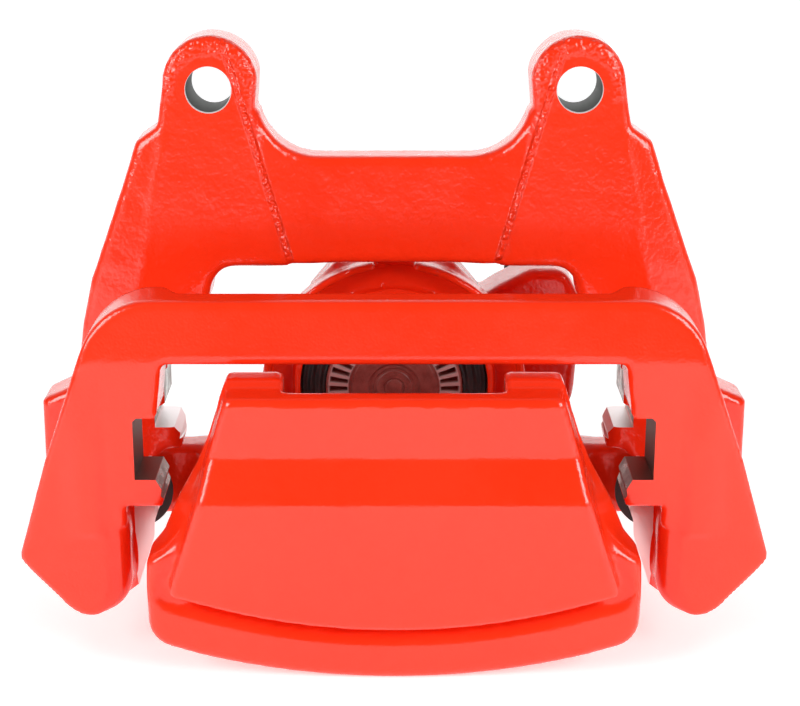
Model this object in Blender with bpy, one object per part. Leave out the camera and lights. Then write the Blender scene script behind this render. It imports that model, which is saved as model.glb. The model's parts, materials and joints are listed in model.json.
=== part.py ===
"""Sliding disc brake caliper with its carrier bracket, as a set of separate pieces.

Lengths are in millimetres and are turned into Blender's metres by MM.  The design axes are:
X across the bracket with the plane of symmetry at X = 0, Y along the guide pins from the outboard
side to the inboard side, Z up.  Y = 0 is the machined outboard face of the bracket's legs and
Z = 0 is the upper face of the outboard abutment tongues.  The empty "assembly" moves all of it so
that the world origin is at the middle of the assembly's underside.
"""

import math

import bmesh
import bpy
from mathutils import Matrix, Vector

MM = 0.001

# ---- the assembly's box ----
OUTER_HALF_WIDTH = 101.6
FRONT_Y = -18.0
REAR_Y = 114.0
UNDERSIDE_Z = -52.0

# ---- brake disc that the assembly straddles ----
DISC_AXIS_Z = 140.0
DISC_CLEAR_R = 169.0
DISC_GAP_Y0 = 18.0
DISC_GAP_Y1 = 42.0

# ---- bracket: mounting ears ----
PLATE_Y0 = 42.0
PLATE_Y1 = 62.0
EAR_X = 50.6
EAR_Z = 96.4
EAR_R = 13.0
EAR_TOP_X = 50.2
EAR_TOP_Z = 97.8
MOUNT_BORE_R = 6.1
CROSSBAR_TOP_Z = 76.4
CROSSBAR_Y0 = 48.0
CROSSBAR_Y1 = 58.0
WINDOW_TOP_Z = 47.3
CROSSBAR_FLAT_X = 20.6
FILLET_R = 18.0
RIDGE_FOOT_X = 30.3

# ---- bracket: legs, abutments and tie bar ----
LEG_Y0 = 0.0
LEG_Y1 = DISC_GAP_Y0
TIE_TOP_Z = 48.4
TIE_BOTTOM_Z = 31.7
TIE_DEPTH = 11.0
SLOT_X = 68.6
SLOT_TOP_Z = 17.2
TONGUE_TIP_X = 61.6
TONGUE_BOTTOM_Z = -8.0
INBOARD_WALL_X = 65.6
SIDE_BOX_TOP_Z = 7.6

# ---- guide pins ----
PIN_X = 78.5
PIN_Z = -26.0
PIN_R = 5.0
PIN_BORE_R = 5.3
PIN_BORE_Y0 = 19.0
PIN_NOSE_Y = 24.0
PIN_BOSS_R = 9.2
PIN_BOSS_Y0 = 12.0
PIN_BOSS_Y1 = 58.0
PIN_HEAD_Y = 65.7
PIN_HEAD_R = 8.5
BOOT_Y0 = 58.3
BOOT_Y1 = 63.2
BOOT_LIP = 1.2
BOOT_R = 11.5
PIN_BUSH_LENGTH = 12.0
PIN_BUSH_WALL = 1.2
BOLT_R = 4.0
BOLT_FLANGE_R = 8.6
BOLT_HEX_ACROSS = 13.0
BOLT_HEAD_THICK = 7.0
BOLT_FLANGE_THICK = 1.6
BOLT_TIP_Y = 66.0

# ---- caliper housing ----
FINGER_Y0 = -10.0
FINGER_Y1 = 2.0
FINGER_TOP_Z = 29.6
FINGER_GAP_HALF = 28.6
POCKET_Y0 = -8.0
RIM_HALF_WIDTH = 63.6
RIM_BOTTOM_R = 216.0
RIM_BOTTOM_START_DEG = -75.6
PANEL_TOP_Z = 27.4
PANEL_BOTTOM_Z = -36.4
PANEL_BOTTOM_R = 178.0
PANEL_BOTTOM_START_DEG = -73.2
PANEL_UPPER_Y = -14.0
RAMP_TOP_Z = 12.0
RAMP_BOTTOM_Z = 2.0
BRIDGE_INNER_R = 168.6
BRIDGE_THICK = 15.5
BRIDGE_HALF_WIDTH = 57.0
LUG_Y0 = 66.0
LUG_Y1 = 77.0
LUG_R = 11.0
CYLINDER_Z = 5.5
CYLINDER_R = 37.0
CYLINDER_Y0 = 58.0
BORE_R = 20.5
BORE_END_Y = 104.0

# ---- piston and its seals ----
PISTON_R = 20.2
PISTON_FACE_Y = 59.5
PISTON_END_Y = 101.0
PISTON_WELL_R = 12.0
PISTON_GROOVE_R = 18.2
SEAL_Y0 = 73.0
SEAL_WIDTH = 3.2
SEAL_OUTER_R = 23.2
BOOT_SEAT_R = 27.8
BOOT_SEAT_DEPTH = 6.0

# ---- fluid boss, bleeder and inlet ----
BOSS_OUTER_X = 57.0
BOSS_TOP_Z = 36.6
BOSS_Y0 = 78.0
BOSS_Y1 = 97.0
BLEEDER_AT = (40.0, BOSS_Y1, 22.0)
BLEEDER_AXIS = (0.0, math.cos(math.radians(35)), math.sin(math.radians(35)))
BLEEDER_DEPTH = 13.0
BLEEDER_R = 4.0
BLEEDER_TIP_R = 1.6
BLEEDER_SEAT_R = 7.2
BLEEDER_HEX_ACROSS = 9.0
NIPPLE_R = 3.2
NIPPLE_HOLE_R = 1.1
NIPPLE_END = 15.0
CAP_START = 6.8
INLET_AT = (56.0, 89.0, 21.0)
INLET_AXIS = (1.0, 0.0, 0.0)
INLET_R = 5.0
INLET_DEPTH = 12.0

# ---- clearances ----
GAP = 0.3

ROUND_SEGMENTS = 40


# ---------------------------------------------------------------------------------------------
# Outlines: lists of (x, z) corners in millimetres
# ---------------------------------------------------------------------------------------------
def arc(centre, radius, start_deg, end_deg, steps):
    """Points along a circle from one angle to another, both ends included."""
    angles = [start_deg + (end_deg - start_deg) * i / steps for i in range(steps + 1)]
    return [
        (centre[0] + radius * math.cos(math.radians(a)), centre[1] + radius * math.sin(math.radians(a)))
        for a in angles
    ]


def rounded(corners, steps=4):
    """An outline from (x, z, radius) corners, each corner with a radius turned into an arc."""
    points = []
    count = len(corners)
    for i, (x, z, radius) in enumerate(corners):
        here = Vector((x, z))
        if radius <= 0:
            points.append((x, z))
            continue
        before = (Vector(corners[i - 1][:2]) - here).normalized()
        after = (Vector(corners[(i + 1) % count][:2]) - here).normalized()
        half = before.angle(after) / 2
        reach = radius / math.tan(half)
        centre = here + (before + after).normalized() * (radius / math.sin(half))
        start = here + before * reach - centre
        end = here + after * reach - centre
        turn = math.atan2(start.x * end.y - start.y * end.x, start.dot(end))
        for k in range(steps + 1):
            angle = turn * k / steps
            spoke = Matrix.Rotation(angle, 2) @ start
            points.append((centre.x + spoke.x, centre.y + spoke.y))
    return points


def plain(points):
    """Points as corners without a radius, so that rounded() can join them to other corners."""
    return [(x, z, 0) for x, z in points]


def mirrored(outline):
    """The same outline on the other side of the plane of symmetry."""
    return [(-x, z) for x, z in reversed(outline)]


def both_halves(outline):
    """A closed symmetric outline from its right half, which starts and ends near X = 0."""
    return outline + mirrored(outline)


# ---------------------------------------------------------------------------------------------
# Bodies
# ---------------------------------------------------------------------------------------------
def add_object(name, mesh_builder, hidden=False):
    """A mesh object whose faces point outwards, from a bmesh in millimetres."""
    bmesh.ops.remove_doubles(mesh_builder, verts=mesh_builder.verts, dist=0.0005)
    bmesh.ops.recalc_face_normals(mesh_builder, faces=mesh_builder.faces)
    bmesh.ops.scale(mesh_builder, vec=(MM, MM, MM), verts=mesh_builder.verts)
    mesh = bpy.data.meshes.new(name)
    mesh_builder.to_mesh(mesh)
    mesh_builder.free()
    obj = bpy.data.objects.new(name, mesh)
    bpy.context.scene.collection.objects.link(obj)
    if hidden:
        obj.hide_render = True
        obj.display_type = "WIRE"
    return obj


def prism(name, outline, y0, y1, hidden=True):
    """A straight block with the given (x, z) outline, from y0 to y1."""
    bm = bmesh.new()
    front = [bm.verts.new((x, y0, z)) for x, z in outline]
    back = [bm.verts.new((x, y1, z)) for x, z in outline]
    bm.faces.new(front)
    bm.faces.new(list(reversed(back)))
    for i in range(len(outline)):
        j = (i + 1) % len(outline)
        bm.faces.new((front[j], front[i], back[i], back[j]))
    return add_object(name, bm, hidden)


def slab(name, outline, x0, x1, hidden=True):
    """A straight block with the given (y, z) outline, from x0 to x1."""
    bm = bmesh.new()
    left = [bm.verts.new((x0, y, z)) for y, z in outline]
    right = [bm.verts.new((x1, y, z)) for y, z in outline]
    bm.faces.new(left)
    bm.faces.new(list(reversed(right)))
    for i in range(len(outline)):
        j = (i + 1) % len(outline)
        bm.faces.new((left[j], left[i], right[i], right[j]))
    return add_object(name, bm, hidden)


def block(name, low, high, hidden=True):
    """A plain box between two corners."""
    outline = [(low[0], low[2]), (high[0], low[2]), (high[0], high[2]), (low[0], high[2])]
    return prism(name, outline, low[1], high[1], hidden)


def turned(name, profile, centre=(0.0, 0.0, 0.0), hidden=False, segments=ROUND_SEGMENTS, tilt=None):
    """A round body about the Y axis through centre.

    The profile is a closed list of (radius, y) points; a radius of 0 closes the body on its axis.
    tilt is an optional rotation of the body about its centre.
    """
    bm = bmesh.new()
    rings = []
    for radius, y in profile:
        if radius == 0:
            rings.append([bm.verts.new((0, y, 0))])
            continue
        ring = []
        for i in range(segments):
            angle = 2 * math.pi * i / segments
            ring.append(bm.verts.new((radius * math.cos(angle), y, radius * math.sin(angle))))
        rings.append(ring)
    for first, second in zip(rings, rings[1:] + rings[:1]):
        for i in range(segments):
            j = (i + 1) % segments
            corners = [first[i % len(first)], first[j % len(first)], second[j % len(second)], second[i % len(second)]]
            unique = list(dict.fromkeys(corners))
            if len(unique) > 2:
                bm.faces.new(unique)
    if tilt is not None:
        bmesh.ops.rotate(bm, cent=(0, 0, 0), matrix=tilt, verts=bm.verts)
    obj = add_object(name, bm, hidden)
    obj.location = Vector(centre) * MM
    return obj


def rod(name, radius, y0, y1, centre_x, centre_z, hidden=True, segments=ROUND_SEGMENTS):
    """A plain round rod along Y."""
    profile = [(0, y0), (radius, y0), (radius, y1), (0, y1)]
    return turned(name, profile, (centre_x, 0, centre_z), hidden, segments)


def combine(target, other, operation):
    """Adds a Boolean of the other body to the target."""
    modifier = target.modifiers.new(f"{operation.lower()} {other.name}", "BOOLEAN")
    modifier.object = other
    modifier.operation = operation
    modifier.solver = "EXACT"


def unite(target, *others):
    for other in others:
        combine(target, other, "UNION")


def cut(target, *others):
    for other in others:
        combine(target, other, "DIFFERENCE")


# ---------------------------------------------------------------------------------------------
# Carrier bracket
# ---------------------------------------------------------------------------------------------
def outboard_frame_outline():
    """The legs and the tie bar that joins them, seen from outboard: the right half."""
    return rounded([
        (0, TIE_TOP_Z, 0),
        (70.5, TIE_TOP_Z, 9.0),
        (79.6, 40.0, 7.0),
        (91.9, 5.0, 0),
        (100.2, -20.6, 4.0),
        (82.0, -43.4, 9.0),
        (73.2, -32.1, 3.0),
        (71.6, -16.0, 0),
        (71.8, TONGUE_BOTTOM_Z, 0),
        (62.6, TONGUE_BOTTOM_Z, 0.6),
        (TONGUE_TIP_X, -2.8, 0.5),
        (63.1, 0, 0.4),
        (SLOT_X, 0, 0.4),
        (SLOT_X, SLOT_TOP_Z, 1.2),
        (62.4, SLOT_TOP_Z, 0.8),
        (60.7, TIE_BOTTOM_Z, 2.0),
        (0, TIE_BOTTOM_Z, 0),
    ])


def inboard_leg_outline():
    """One ear, its leg, its abutment and the pin boss below, seen from outboard."""
    ear = arc((EAR_TOP_X, EAR_TOP_Z), EAR_R, 172, 2, 18)
    return rounded(plain(ear) + [
        (62.8, 85.7, 1.5),
        (69.9, 82.4, 1.5),
        (80.5, 54.9, 0),
        (91.0, 12.0, 0),
        (94.0, SIDE_BOX_TOP_Z, 1.5),
        (OUTER_HALF_WIDTH, SIDE_BOX_TOP_Z - 3.6, 1.5),
        (OUTER_HALF_WIDTH, -13.0, 0),
        (99.4, -21.0, 3.0),
        (84.0, -38.0, 5.0),
        (72.0, -34.0, 2.0),
        (71.0, -16.0, 0),
        (71.4, TONGUE_BOTTOM_Z, 0),
        (62.8, TONGUE_BOTTOM_Z, 0.6),
        (TONGUE_TIP_X, -2.8, 0.5),
        (63.1, -0.4, 0.4),
        (SLOT_X, -0.4, 0.4),
        (SLOT_X, 5.2, 0.6),
        (INBOARD_WALL_X, 6.8, 0),
        (INBOARD_WALL_X, 17.0, 1.0),
        (50.8, 38.8, 6.0),
        (46.6, WINDOW_TOP_Z, 2.5),
        (RIDGE_FOOT_X, WINDOW_TOP_Z, 0),
    ])


def crossbar_outline():
    """The bar between the ears with its two concave fillets: the right half."""
    fillet = arc((CROSSBAR_FLAT_X, CROSSBAR_TOP_Z + FILLET_R), FILLET_R, -90, -14, 8)
    return [(0, CROSSBAR_TOP_Z)] + fillet + [(EAR_X, 88.0), (EAR_X, WINDOW_TOP_Z), (0, WINDOW_TOP_Z)]


def pin_boss(side):
    """The round boss around one guide pin, across the disc gap below the disc's edge."""
    boss = rod(f"pin boss {side}", PIN_BOSS_R, PIN_BOSS_Y0, PIN_BOSS_Y1, side * PIN_X, PIN_Z)
    outline = rounded([
        (72.4, -6.0, 0),
        (90.0, 5.0, 0),
        (99.4, -20.6, 4.0),
        (82.0, -40.6, 9.0),
        (73.2, -32.1, 3.0),
    ])
    span = prism(
        f"disc crossing {side}",
        outline if side > 0 else mirrored(outline),
        LEG_Y1 - 4.0,
        PLATE_Y0 + 4.0,
    )
    return boss, span


def carrier_bracket():
    """The fixed bracket: two bolted ears, two legs over the disc and the outboard tie bar."""
    bracket = prism("carrier_bracket", both_halves(outboard_frame_outline()), LEG_Y0, LEG_Y1, hidden=False)
    tie_relief = block(
        "tie bar relief",
        (-59.0, TIE_DEPTH, TIE_BOTTOM_Z - 5.0),
        (59.0, LEG_Y1 + 2.0, TIE_TOP_Z + 5.0),
    )
    cut(bracket, tie_relief)
    unite(bracket, prism("crossbar", both_halves(crossbar_outline()), CROSSBAR_Y0, CROSSBAR_Y1))
    for side in (1, -1):
        outline = inboard_leg_outline()
        plate = prism(f"plate leg {side}", outline if side > 0 else mirrored(outline), PLATE_Y0, PLATE_Y1)
        unite(bracket, plate)
        unite(bracket, *pin_boss(side))
        cut(bracket, block(
            f"boot seat face {side}",
            (side * 85.0 - 25.0, PIN_BOSS_Y1, -60.0),
            (side * 85.0 + 25.0, PLATE_Y1 + 5.0, TONGUE_BOTTOM_Z - 5.0),
        ))
        cut(bracket, rod(
            f"mounting hole {side}", MOUNT_BORE_R, PLATE_Y0 - 5.0, PLATE_Y1 + 5.0, side * EAR_X, EAR_Z
        ))
        cut(bracket, rod(f"pin bore {side}", PIN_BORE_R, PIN_BORE_Y0, PLATE_Y1 + 5.0, side * PIN_X, PIN_Z))
    disc = rod(
        "disc sweep", DISC_CLEAR_R, DISC_GAP_Y0, DISC_GAP_Y1, 0.0, DISC_AXIS_Z, segments=3 * ROUND_SEGMENTS
    )
    cut(bracket, disc)
    return bracket


# ---------------------------------------------------------------------------------------------
# Caliper housing
# ---------------------------------------------------------------------------------------------
def rim_outline():
    """The outer wall of the housing seen from outboard, fingers included: the right half."""
    bottom = arc((0, UNDERSIDE_Z + RIM_BOTTOM_R), RIM_BOTTOM_R, RIM_BOTTOM_START_DEG, -90, 6)
    return rounded([
        (0, FINGER_TOP_Z, 0),
        (43.8, FINGER_TOP_Z, 3.0),
        (49.0, 4.0, 0),
        (59.6, -12.0, 4.0),
        (RIM_HALF_WIDTH, -24.0, 3.0),
        (RIM_HALF_WIDTH, -40.6, 6.0),
    ] + plain(bottom))


def panel_outline():
    """The raised front panel seen from outboard: the right half."""
    bottom = arc((0, PANEL_BOTTOM_Z + PANEL_BOTTOM_R), PANEL_BOTTOM_R, PANEL_BOTTOM_START_DEG, -90, 6)
    return rounded([
        (0, PANEL_TOP_Z, 0),
        (43.0, PANEL_TOP_Z, 2.5),
        (49.4, 2.0, 0),
        (58.6, -26.0, 2.5),
    ] + plain(bottom))


def panel_ramp_cut():
    """What is removed in front of the panel: its upper third stands back, below a sloping step."""
    return slab(
        "panel ramp",
        [
            (FRONT_Y - 2.0, PANEL_TOP_Z + 5.0),
            (PANEL_UPPER_Y, PANEL_TOP_Z + 5.0),
            (PANEL_UPPER_Y, RAMP_TOP_Z),
            (FRONT_Y, RAMP_BOTTOM_Z),
            (FRONT_Y - 2.0, RAMP_BOTTOM_Z),
        ],
        -OUTER_HALF_WIDTH,
        OUTER_HALF_WIDTH,
    )


def bridge_outline():
    """The bridge over the disc's edge: inner and outer arcs, both about the disc's axis."""
    spread = math.degrees(math.asin(BRIDGE_HALF_WIDTH / BRIDGE_INNER_R))
    inner = arc((0, DISC_AXIS_Z), BRIDGE_INNER_R, -90 - spread, -90 + spread, 12)
    outer = arc((0, DISC_AXIS_Z), BRIDGE_INNER_R + BRIDGE_THICK, -90 + spread, -90 - spread, 12)
    return inner + outer


def lug_outline():
    """The two arms that reach from the cylinder to the guide pins: the right half."""
    end = arc((PIN_X, PIN_Z), LUG_R, 90, -90, 12)
    return [(0, PIN_Z + LUG_R)] + end + [(0, PIN_Z - LUG_R)]


def finger_pocket_outline():
    """The tool gap between the fingers: straight sides above, round below."""
    bottom = arc((0, CYLINDER_Z), FINGER_GAP_HALF, 0, -180, 16)
    top = FINGER_TOP_Z + 8.0
    return [(FINGER_GAP_HALF, top)] + bottom + [(-FINGER_GAP_HALF, top)]


def cylinder_body():
    """The outside of the cylinder: a rim, a waist and a rounded closed end."""
    profile = [
        (0, CYLINDER_Y0),
        (CYLINDER_R, CYLINDER_Y0),
        (CYLINDER_R, CYLINDER_Y0 + 8.0),
        (CYLINDER_R - 3.0, REAR_Y - 34.0),
        (CYLINDER_R - 5.0, REAR_Y - 10.0),
        (CYLINDER_R - 13.0, REAR_Y),
        (0, REAR_Y),
    ]
    return turned("cylinder", profile, (0, 0, CYLINDER_Z), hidden=True)


def bore_profile():
    """The stepped bore with the boot's seat and the seal's groove."""
    return [
        (0, CYLINDER_Y0 - 5.0),
        (BOOT_SEAT_R, CYLINDER_Y0 - 5.0),
        (BOOT_SEAT_R, CYLINDER_Y0 + BOOT_SEAT_DEPTH),
        (BORE_R, CYLINDER_Y0 + BOOT_SEAT_DEPTH),
        (BORE_R, SEAL_Y0),
        (SEAL_OUTER_R, SEAL_Y0),
        (SEAL_OUTER_R, SEAL_Y0 + SEAL_WIDTH),
        (BORE_R, SEAL_Y0 + SEAL_WIDTH),
        (BORE_R, BORE_END_Y),
        (0, BORE_END_Y),
    ]


def fluid_boss():
    """The thickened corner that carries the inlet and the bleeder."""
    outline = rounded([
        (20.0, -8.0, 0),
        (54.5, -8.0, 6.0),
        (BOSS_OUTER_X, 26.0, 4.0),
        (51.5, BOSS_TOP_Z, 6.0),
        (41.0, BOSS_TOP_Z, 5.0),
        (31.0, 31.5, 0),
        (20.0, 24.0, 0),
    ])
    return prism("fluid boss", outline, BOSS_Y0, BOSS_Y1)


def along(direction):
    """The rotation that turns the +Y axis towards a direction."""
    return Vector((0, 1, 0)).rotation_difference(Vector(direction)).to_matrix()


def caliper_housing():
    """The sliding housing: front wall with two fingers, bridge, cylinder, arms and fluid boss."""
    housing = prism("caliper_housing", both_halves(rim_outline()), FINGER_Y0, FINGER_Y1, hidden=False)
    panel = prism("front panel", both_halves(panel_outline()), FRONT_Y, FINGER_Y0 + 2.0)
    cut(panel, panel_ramp_cut())
    pocket = prism("finger gap", finger_pocket_outline(), POCKET_Y0, FINGER_Y1 + 3.0)
    unite(housing, panel)
    cut(housing, pocket)
    unite(housing, prism("bridge", bridge_outline(), FINGER_Y0 + 2.0, LUG_Y1))
    unite(housing, cylinder_body())
    unite(housing, prism("arms", both_halves(lug_outline()), LUG_Y0, LUG_Y1))
    unite(housing, fluid_boss())
    cut(housing, turned("cylinder bore", bore_profile(), (0, 0, CYLINDER_Z), hidden=True))
    for side in (1, -1):
        cut(housing, rod(f"bolt hole {side}", BOLT_R + GAP, LUG_Y0 - 3.0, LUG_Y1 + 3.0, side * PIN_X, PIN_Z))
    cut(housing, turned("bleeder hole", bleeder_hole_profile(), BLEEDER_AT, True, 24, along(BLEEDER_AXIS)))
    cut(housing, turned("inlet hole", inlet_hole_profile(), INLET_AT, True, 24, along(INLET_AXIS)))
    return housing


# ---------------------------------------------------------------------------------------------
# Guide pins, bush, boots and bolts
# ---------------------------------------------------------------------------------------------
def guide_pin(name, side, bushed):
    """A round pin with a collar against the arm; the bushed one is necked for its rubber sleeve."""
    neck = PIN_R - PIN_BUSH_WALL - GAP
    bush_end = PIN_NOSE_Y + PIN_BUSH_LENGTH
    profile = [(0, PIN_NOSE_Y)]
    if bushed:
        profile += [
            (PIN_R - 1.0, PIN_NOSE_Y),
            (PIN_R, PIN_NOSE_Y + 1.0),
            (PIN_R, PIN_NOSE_Y + 2.5),
            (neck, PIN_NOSE_Y + 2.5),
            (neck, bush_end),
            (PIN_R, bush_end),
        ]
    else:
        profile += [(PIN_R - 1.0, PIN_NOSE_Y), (PIN_R, PIN_NOSE_Y + 1.0)]
    profile += [
        (PIN_R, BOOT_Y1 - BOOT_LIP),
        (PIN_R - 0.8, BOOT_Y1 - BOOT_LIP),
        (PIN_R - 0.8, BOOT_Y1),
        (PIN_HEAD_R, BOOT_Y1 + GAP),
        (PIN_HEAD_R, PIN_HEAD_Y),
        (0, PIN_HEAD_Y),
    ]
    return turned(name, profile, (side * PIN_X, 0, PIN_Z))


def pin_bush(name, side):
    """The rubber sleeve in the neck of one pin, which keeps it from rattling in its bore."""
    inner = PIN_R - PIN_BUSH_WALL
    y0 = PIN_NOSE_Y + 2.5 + GAP
    y1 = PIN_NOSE_Y + PIN_BUSH_LENGTH - GAP
    outer = PIN_R
    profile = [(inner, y0), (outer, y0), (outer, y1), (inner, y1)]
    return turned(name, profile, (side * PIN_X, 0, PIN_Z))


def pin_boot(name, side):
    """The bellows between the bracket's boss and the pin's collar."""
    inner = PIN_R + GAP
    profile = [
        (inner, BOOT_Y0),
        (BOOT_R, BOOT_Y0),
        (BOOT_R, BOOT_Y0 + 1.4),
        (BOOT_R - 2.6, (BOOT_Y0 + BOOT_Y1) / 2),
        (BOOT_R - 1.2, BOOT_Y1 - 1.0),
        (BOOT_R - 2.6, BOOT_Y1),
        (inner, BOOT_Y1),
    ]
    return turned(name, profile, (side * PIN_X, 0, PIN_Z))


def pin_bolt(name, side):
    """The hexagon bolt with a pressed-on flange that holds the pin to the arm."""
    flange_y0 = LUG_Y1 + GAP
    hex_y0 = flange_y0 + BOLT_FLANGE_THICK
    profile = [
        (0, BOLT_TIP_Y),
        (BOLT_R, BOLT_TIP_Y),
        (BOLT_R, flange_y0),
        (BOLT_FLANGE_R, flange_y0),
        (BOLT_FLANGE_R, hex_y0),
        (BOLT_HEX_ACROSS / 2 - 0.5, hex_y0 + 0.8),
        (BOLT_HEX_ACROSS / 2 - 0.5, hex_y0 + 1.5),
        (0, hex_y0 + 1.5),
    ]
    bolt = turned(name, profile, (side * PIN_X, 0, PIN_Z))
    corner_r = BOLT_HEX_ACROSS / math.sqrt(3)
    hexagon = arc((side * PIN_X, PIN_Z), corner_r, 0, 300, 5)
    unite(bolt, prism(f"{name} head", hexagon, hex_y0 + 0.2, hex_y0 + BOLT_HEAD_THICK))
    return bolt


# ---------------------------------------------------------------------------------------------
# Piston and its seals
# ---------------------------------------------------------------------------------------------
def piston():
    """The piston: a flat face with a sunk ring of pockets, and a hollow rear end."""
    rear_hollow_r = PISTON_R - 6.0
    profile = [
        (0, PISTON_FACE_Y),
        (PISTON_WELL_R, PISTON_FACE_Y),
        (PISTON_WELL_R, PISTON_FACE_Y + 3.0),
        (PISTON_GROOVE_R, PISTON_FACE_Y + 3.0),
        (PISTON_GROOVE_R, PISTON_FACE_Y),
        (PISTON_R - 0.5, PISTON_FACE_Y),
        (PISTON_R, PISTON_FACE_Y + 0.5),
        (PISTON_R, PISTON_END_Y),
        (rear_hollow_r, PISTON_END_Y),
        (rear_hollow_r - 2.0, PISTON_FACE_Y + 12.0),
        (0, PISTON_FACE_Y + 12.0),
    ]
    return turned("piston", profile, (0, 0, CYLINDER_Z), segments=48)


def piston_seal():
    """The square-section ring that seals the piston and draws it back."""
    inner = PISTON_R + GAP
    outer = SEAL_OUTER_R - GAP
    profile = [
        (inner, SEAL_Y0 + GAP),
        (outer, SEAL_Y0 + GAP),
        (outer, SEAL_Y0 + SEAL_WIDTH - GAP),
        (inner, SEAL_Y0 + SEAL_WIDTH - GAP),
    ]
    return turned("piston_seal", profile, (0, 0, CYLINDER_Z), segments=48)


def piston_boot():
    """The rubber dust boot in the mouth of the cylinder, folded flat at rest."""
    inner = PISTON_R + GAP
    outer = BOOT_SEAT_R - GAP
    y0 = PISTON_FACE_Y + 0.4
    y1 = CYLINDER_Y0 + BOOT_SEAT_DEPTH - GAP
    profile = [
        (inner, y0),
        (inner + 1.8, y0),
        (inner + 2.6, y0 + 1.5),
        (outer - 2.2, y0 + 1.5),
        (outer - 1.6, y0 + 0.6),
        (outer, y0 + 0.6),
        (outer, y1),
        (inner, y1),
    ]
    return turned("piston_boot", profile, (0, 0, CYLINDER_Z), segments=48)


# ---------------------------------------------------------------------------------------------
# Bleeder and inlet.  Their profiles run along Y and are turned towards their own axes.
# ---------------------------------------------------------------------------------------------
def bleeder_hole_profile():
    return [
        (0, -BLEEDER_DEPTH - 1.0),
        (BLEEDER_TIP_R + GAP, -BLEEDER_DEPTH),
        (BLEEDER_R + GAP, -BLEEDER_DEPTH + 3.0),
        (BLEEDER_R + GAP, 0.7),
        (BLEEDER_SEAT_R, 0.7),
        (BLEEDER_SEAT_R, 30.0),
        (0, 30.0),
    ]


def inlet_hole_profile():
    return [
        (0, -INLET_DEPTH),
        (INLET_R, -INLET_DEPTH),
        (INLET_R, 0.0),
        (INLET_R + 4.5, 0.0),
        (INLET_R + 4.5, 20.0),
        (0, 20.0),
    ]


def bleeder_screw():
    """The hollow bleeder: cone, thread, hexagon and the barbed nipple."""
    hex_y0 = 1.2
    hex_y1 = hex_y0 + 5.0
    profile = [
        (0, -BLEEDER_DEPTH),
        (BLEEDER_TIP_R, -BLEEDER_DEPTH + 0.6),
        (BLEEDER_R, -BLEEDER_DEPTH + 3.4),
        (BLEEDER_R, hex_y0 + 0.5),
        (NIPPLE_R - 0.7, hex_y0 + 0.5),
        (NIPPLE_R - 0.7, hex_y1 + 2.0),
        (NIPPLE_R, hex_y1 + 3.0),
        (NIPPLE_R - 0.8, NIPPLE_END),
        (NIPPLE_HOLE_R, NIPPLE_END),
        (NIPPLE_HOLE_R, 0.0),
        (0, 0.0),
    ]
    tilt = along(BLEEDER_AXIS)
    screw = turned("bleeder_screw", profile, BLEEDER_AT, segments=24, tilt=tilt)
    ring = arc((0, 0), BLEEDER_HEX_ACROSS / math.sqrt(3), 0, 300, 5)
    inner = arc((0, 0), NIPPLE_R - 1.2, 0, 300, 5)
    bm = bmesh.new()
    rings = []
    for outline, y in ((ring, hex_y0), (ring, hex_y1), (inner, hex_y1), (inner, hex_y0)):
        rings.append([bm.verts.new((x, y, z)) for x, z in outline])
    for first, second in zip(rings, rings[1:] + rings[:1]):
        for i in range(6):
            j = (i + 1) % 6
            bm.faces.new((first[i], first[j], second[j], second[i]))
    bmesh.ops.rotate(bm, cent=(0, 0, 0), matrix=tilt, verts=bm.verts)
    hexagon = add_object("bleeder hexagon", bm, True)
    hexagon.location = Vector(BLEEDER_AT) * MM
    unite(screw, hexagon)
    return screw


def bleeder_cap():
    """The rubber cap pushed over the nipple."""
    inner = NIPPLE_R + GAP
    outer = inner + 1.3
    profile = [
        (inner, CAP_START),
        (outer + 0.5, CAP_START),
        (outer + 0.5, CAP_START + 1.5),
        (outer, CAP_START + 2.0),
        (outer - 0.4, NIPPLE_END + 2.0),
        (0, NIPPLE_END + 2.4),
        (0, NIPPLE_END + GAP),
        (inner, NIPPLE_END + GAP),
    ]
    return turned("bleeder_cap", profile, BLEEDER_AT, segments=24, tilt=along(BLEEDER_AXIS))


def inlet_plug():
    """The plastic shipping plug in the fluid inlet: a stem and a wide head with a pull rim."""
    stem = INLET_R - GAP
    profile = [
        (0, -INLET_DEPTH + 2.0),
        (stem - 0.6, -INLET_DEPTH + 2.0),
        (stem, -INLET_DEPTH + 3.5),
        (stem, GAP),
        (stem + 3.0, GAP),
        (stem + 3.0, 1.9),
        (stem - 0.5, 2.3),
        (stem - 0.8, 5.5),
        (stem - 2.0, 5.5),
        (stem - 2.2, -INLET_DEPTH + 6.0),
        (0, -INLET_DEPTH + 6.0),
    ]
    return turned("inlet_plug", profile, INLET_AT, segments=24, tilt=along(INLET_AXIS))


# ---------------------------------------------------------------------------------------------
# Materials and assembly
# ---------------------------------------------------------------------------------------------
def material(name, colour, roughness, metallic):
    made = bpy.data.materials.new(name)
    made.use_nodes = True
    shader = made.node_tree.nodes["Principled BSDF"]
    shader.inputs["Base Color"].default_value = (*colour, 1.0)
    shader.inputs["Roughness"].default_value = roughness
    shader.inputs["Metallic"].default_value = metallic
    return made


def finish(obj, surface):
    """Gives a piece its material and smooth shading with sharp edges kept."""
    obj.data.materials.append(surface)
    obj.data.shade_smooth()
    obj.data.set_sharp_from_angle(angle=math.radians(35))


def joint_empty(name, at, parent=None):
    """An empty on a joint's axis, which the moving pieces hang from."""
    empty = bpy.data.objects.new(name, None)
    bpy.context.scene.collection.objects.link(empty)
    empty.parent = parent
    above = parent["place"] if parent else (0.0, 0.0, 0.0)
    empty["place"] = at
    empty.location = (Vector(at) - Vector(above)) * MM
    return empty


def hang(pieces, empty):
    """Parents pieces to an empty, and keeps them where they are in the assembly's own frame."""
    for piece in pieces:
        piece.parent = empty
        piece.location = piece.location - Vector(empty["place"]) * MM


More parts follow.
